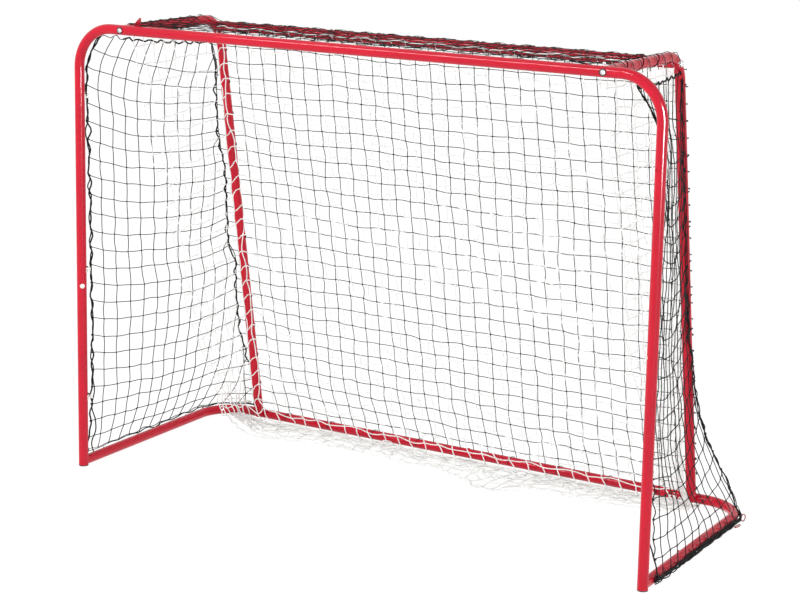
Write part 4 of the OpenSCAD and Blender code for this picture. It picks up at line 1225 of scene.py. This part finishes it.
class GOAL_OT_tie_bars(bpy.types.Operator):
    """Ties round the base and the top bar, and the red elastic loops"""
    bl_idname = "goal.tie_bars"
    bl_label = "Tie Bars"

    def execute(self, context):
        tie = net_sizes(context).tie
        thin = tie * 0.5
        ring = TUBE_R + tie / 2 + 0.3
        self.base_ties(context, thin, ring)
        self.top_bar_ties(context, thin, ring)
        self.red_loops(context, tie, ring)
        return {"FINISHED"}

    def base_ties(self, context, thin, ring):
        """Slanting ties with a knot behind the rear bar and outside the base's sides."""
        base = CordPiece("base_tie_cords", 81)
        for x in REAR_TIES:
            base.cord([around(REAR_BAR, x + 5 * math.cos(a), ring, a)
                       for a in np.radians(np.arange(-28, 209, 12))], thin)
            base.knots([[x, REAR_BAR[0] + ring + 0.8, REAR_BAR[1] + 4]], 6)
        for side in (-1, 1):
            for y in SIDE_TIES:
                base.cord([[side * (POST_X + ring * math.cos(a)), y + 6 * math.cos(a),
                            REAR_BAR[1] + ring * math.sin(a)]
                           for a in np.radians(np.arange(-40, 57, 12))], thin)
                base.knots([[side * (POST_X + ring + 0.6), y, REAR_BAR[1] + 2]], 6)
        base.make(context, "black_cord", "base_ties")

    def top_bar_ties(self, context, thin, ring):
        """Ties of two turns, and the nets' edges laced to the bar with long turns in both directions."""
        top = CordPiece("top_bar_tie_cords", 82)
        for x in REAR_TIES:
            top.cord([around(TOP_BAR, x + (a / 12.6 - 0.5) * 26, ring, a)
                      for a in np.radians(np.arange(0, 721, 15))], thin)
        xs = np.arange(-575, 576, 9)
        for hand, start, lift in ((1, 0.0, 0.0), (1, math.pi, 0.0), (-1, 0.0, 1.0), (-1, math.pi, 1.0)):
            top.cord([around(TOP_BAR, x, ring - 0.3 + lift, start + hand * 2 * math.pi * x / 150)
                      for x in xs], thin * 0.85)
        top.make(context, "black_cord", "top_bar_ties")

    def red_loops(self, context, tie, ring):
        """Elastic loops: two at each corner of the base, and two near each end of the crossbar."""
        loops = CordPiece("red_elastic_loops", 83)
        loop_x = UPRIGHT_X - 47
        for side in (-1, 1):
            for middle, along, up in np.array(LOOPS):
                loop = [middle + along * math.cos(a) + up * math.sin(a)
                        for a in np.radians(np.arange(0, 361, 15))]
                loops.cord(mirrored(loop, side), tie * 0.85)
            for shift in (0, 3):
                loops.cord([around(CROSSBAR, side * loop_x + side * shift, ring, a)
                            for a in np.radians(np.arange(-22, 96, 12))], tie)
        # The left loop's cut end stands up as a small flat tail
        tip = -599
        for x in (-617, -611, -605, tip):
            loops.cord([[x, 4, BAR_Z + 14.2], [(x + tip) / 2, 4, BAR_Z + 24], [tip, 4, BAR_Z + 32]], 4.2)
        loops.make(context, "red_cord", "corner_ties")


class GOAL_PT_panel(bpy.types.Panel):
    """Sizes, colours and steps of the street goal"""
    bl_idname = "GOAL_PT_panel"
    bl_label = "Street Goal"
    bl_space_type = "VIEW_3D"
    bl_region_type = "UI"
    bl_category = "Street Goal"

    def draw(self, context):
        layout = self.layout
        for group in (context.scene.goal_finishes, context.scene.goal_nets, context.scene.goal_stage):
            box = layout.box()
            for name in group.__annotations__:
                box.prop(group, name)
        for operator in OPERATORS:
            layout.operator(operator.bl_idname)


GROUPS = (GoalFinishes, GoalNets, GoalStage)
OPERATORS = (
    GOAL_OT_set_stage,
    GOAL_OT_finish_tubes,
    GOAL_OT_finish_fittings,
    GOAL_OT_fit_spring_strips,
    GOAL_OT_knot_rear_net,
    GOAL_OT_knot_roof_net,
    GOAL_OT_knot_side_nets,
    GOAL_OT_hang_drop_net,
    GOAL_OT_heap_drop_net,
    GOAL_OT_lace_posts,
    GOAL_OT_lace_roof_tubes,
    GOAL_OT_lace_uprights,
    GOAL_OT_tie_bars,
)


def register():
    for kind in (*GROUPS, *OPERATORS, GOAL_PT_panel):
        bpy.utils.register_class(kind)
    bpy.types.Scene.goal_finishes = bpy.props.PointerProperty(type=GoalFinishes)
    bpy.types.Scene.goal_nets = bpy.props.PointerProperty(type=GoalNets)
    bpy.types.Scene.goal_stage = bpy.props.PointerProperty(type=GoalStage)


def unregister():
    del bpy.types.Scene.goal_finishes, bpy.types.Scene.goal_nets, bpy.types.Scene.goal_stage
    for kind in reversed((*GROUPS, *OPERATORS, GOAL_PT_panel)):
        bpy.utils.unregister_class(kind)


def main():
    """Builds the goal in order."""
    register()
    for operator in OPERATORS:
        getattr(bpy.ops.goal, operator.bl_idname.removeprefix("goal."))()


if __name__ == "__main__":
    main()
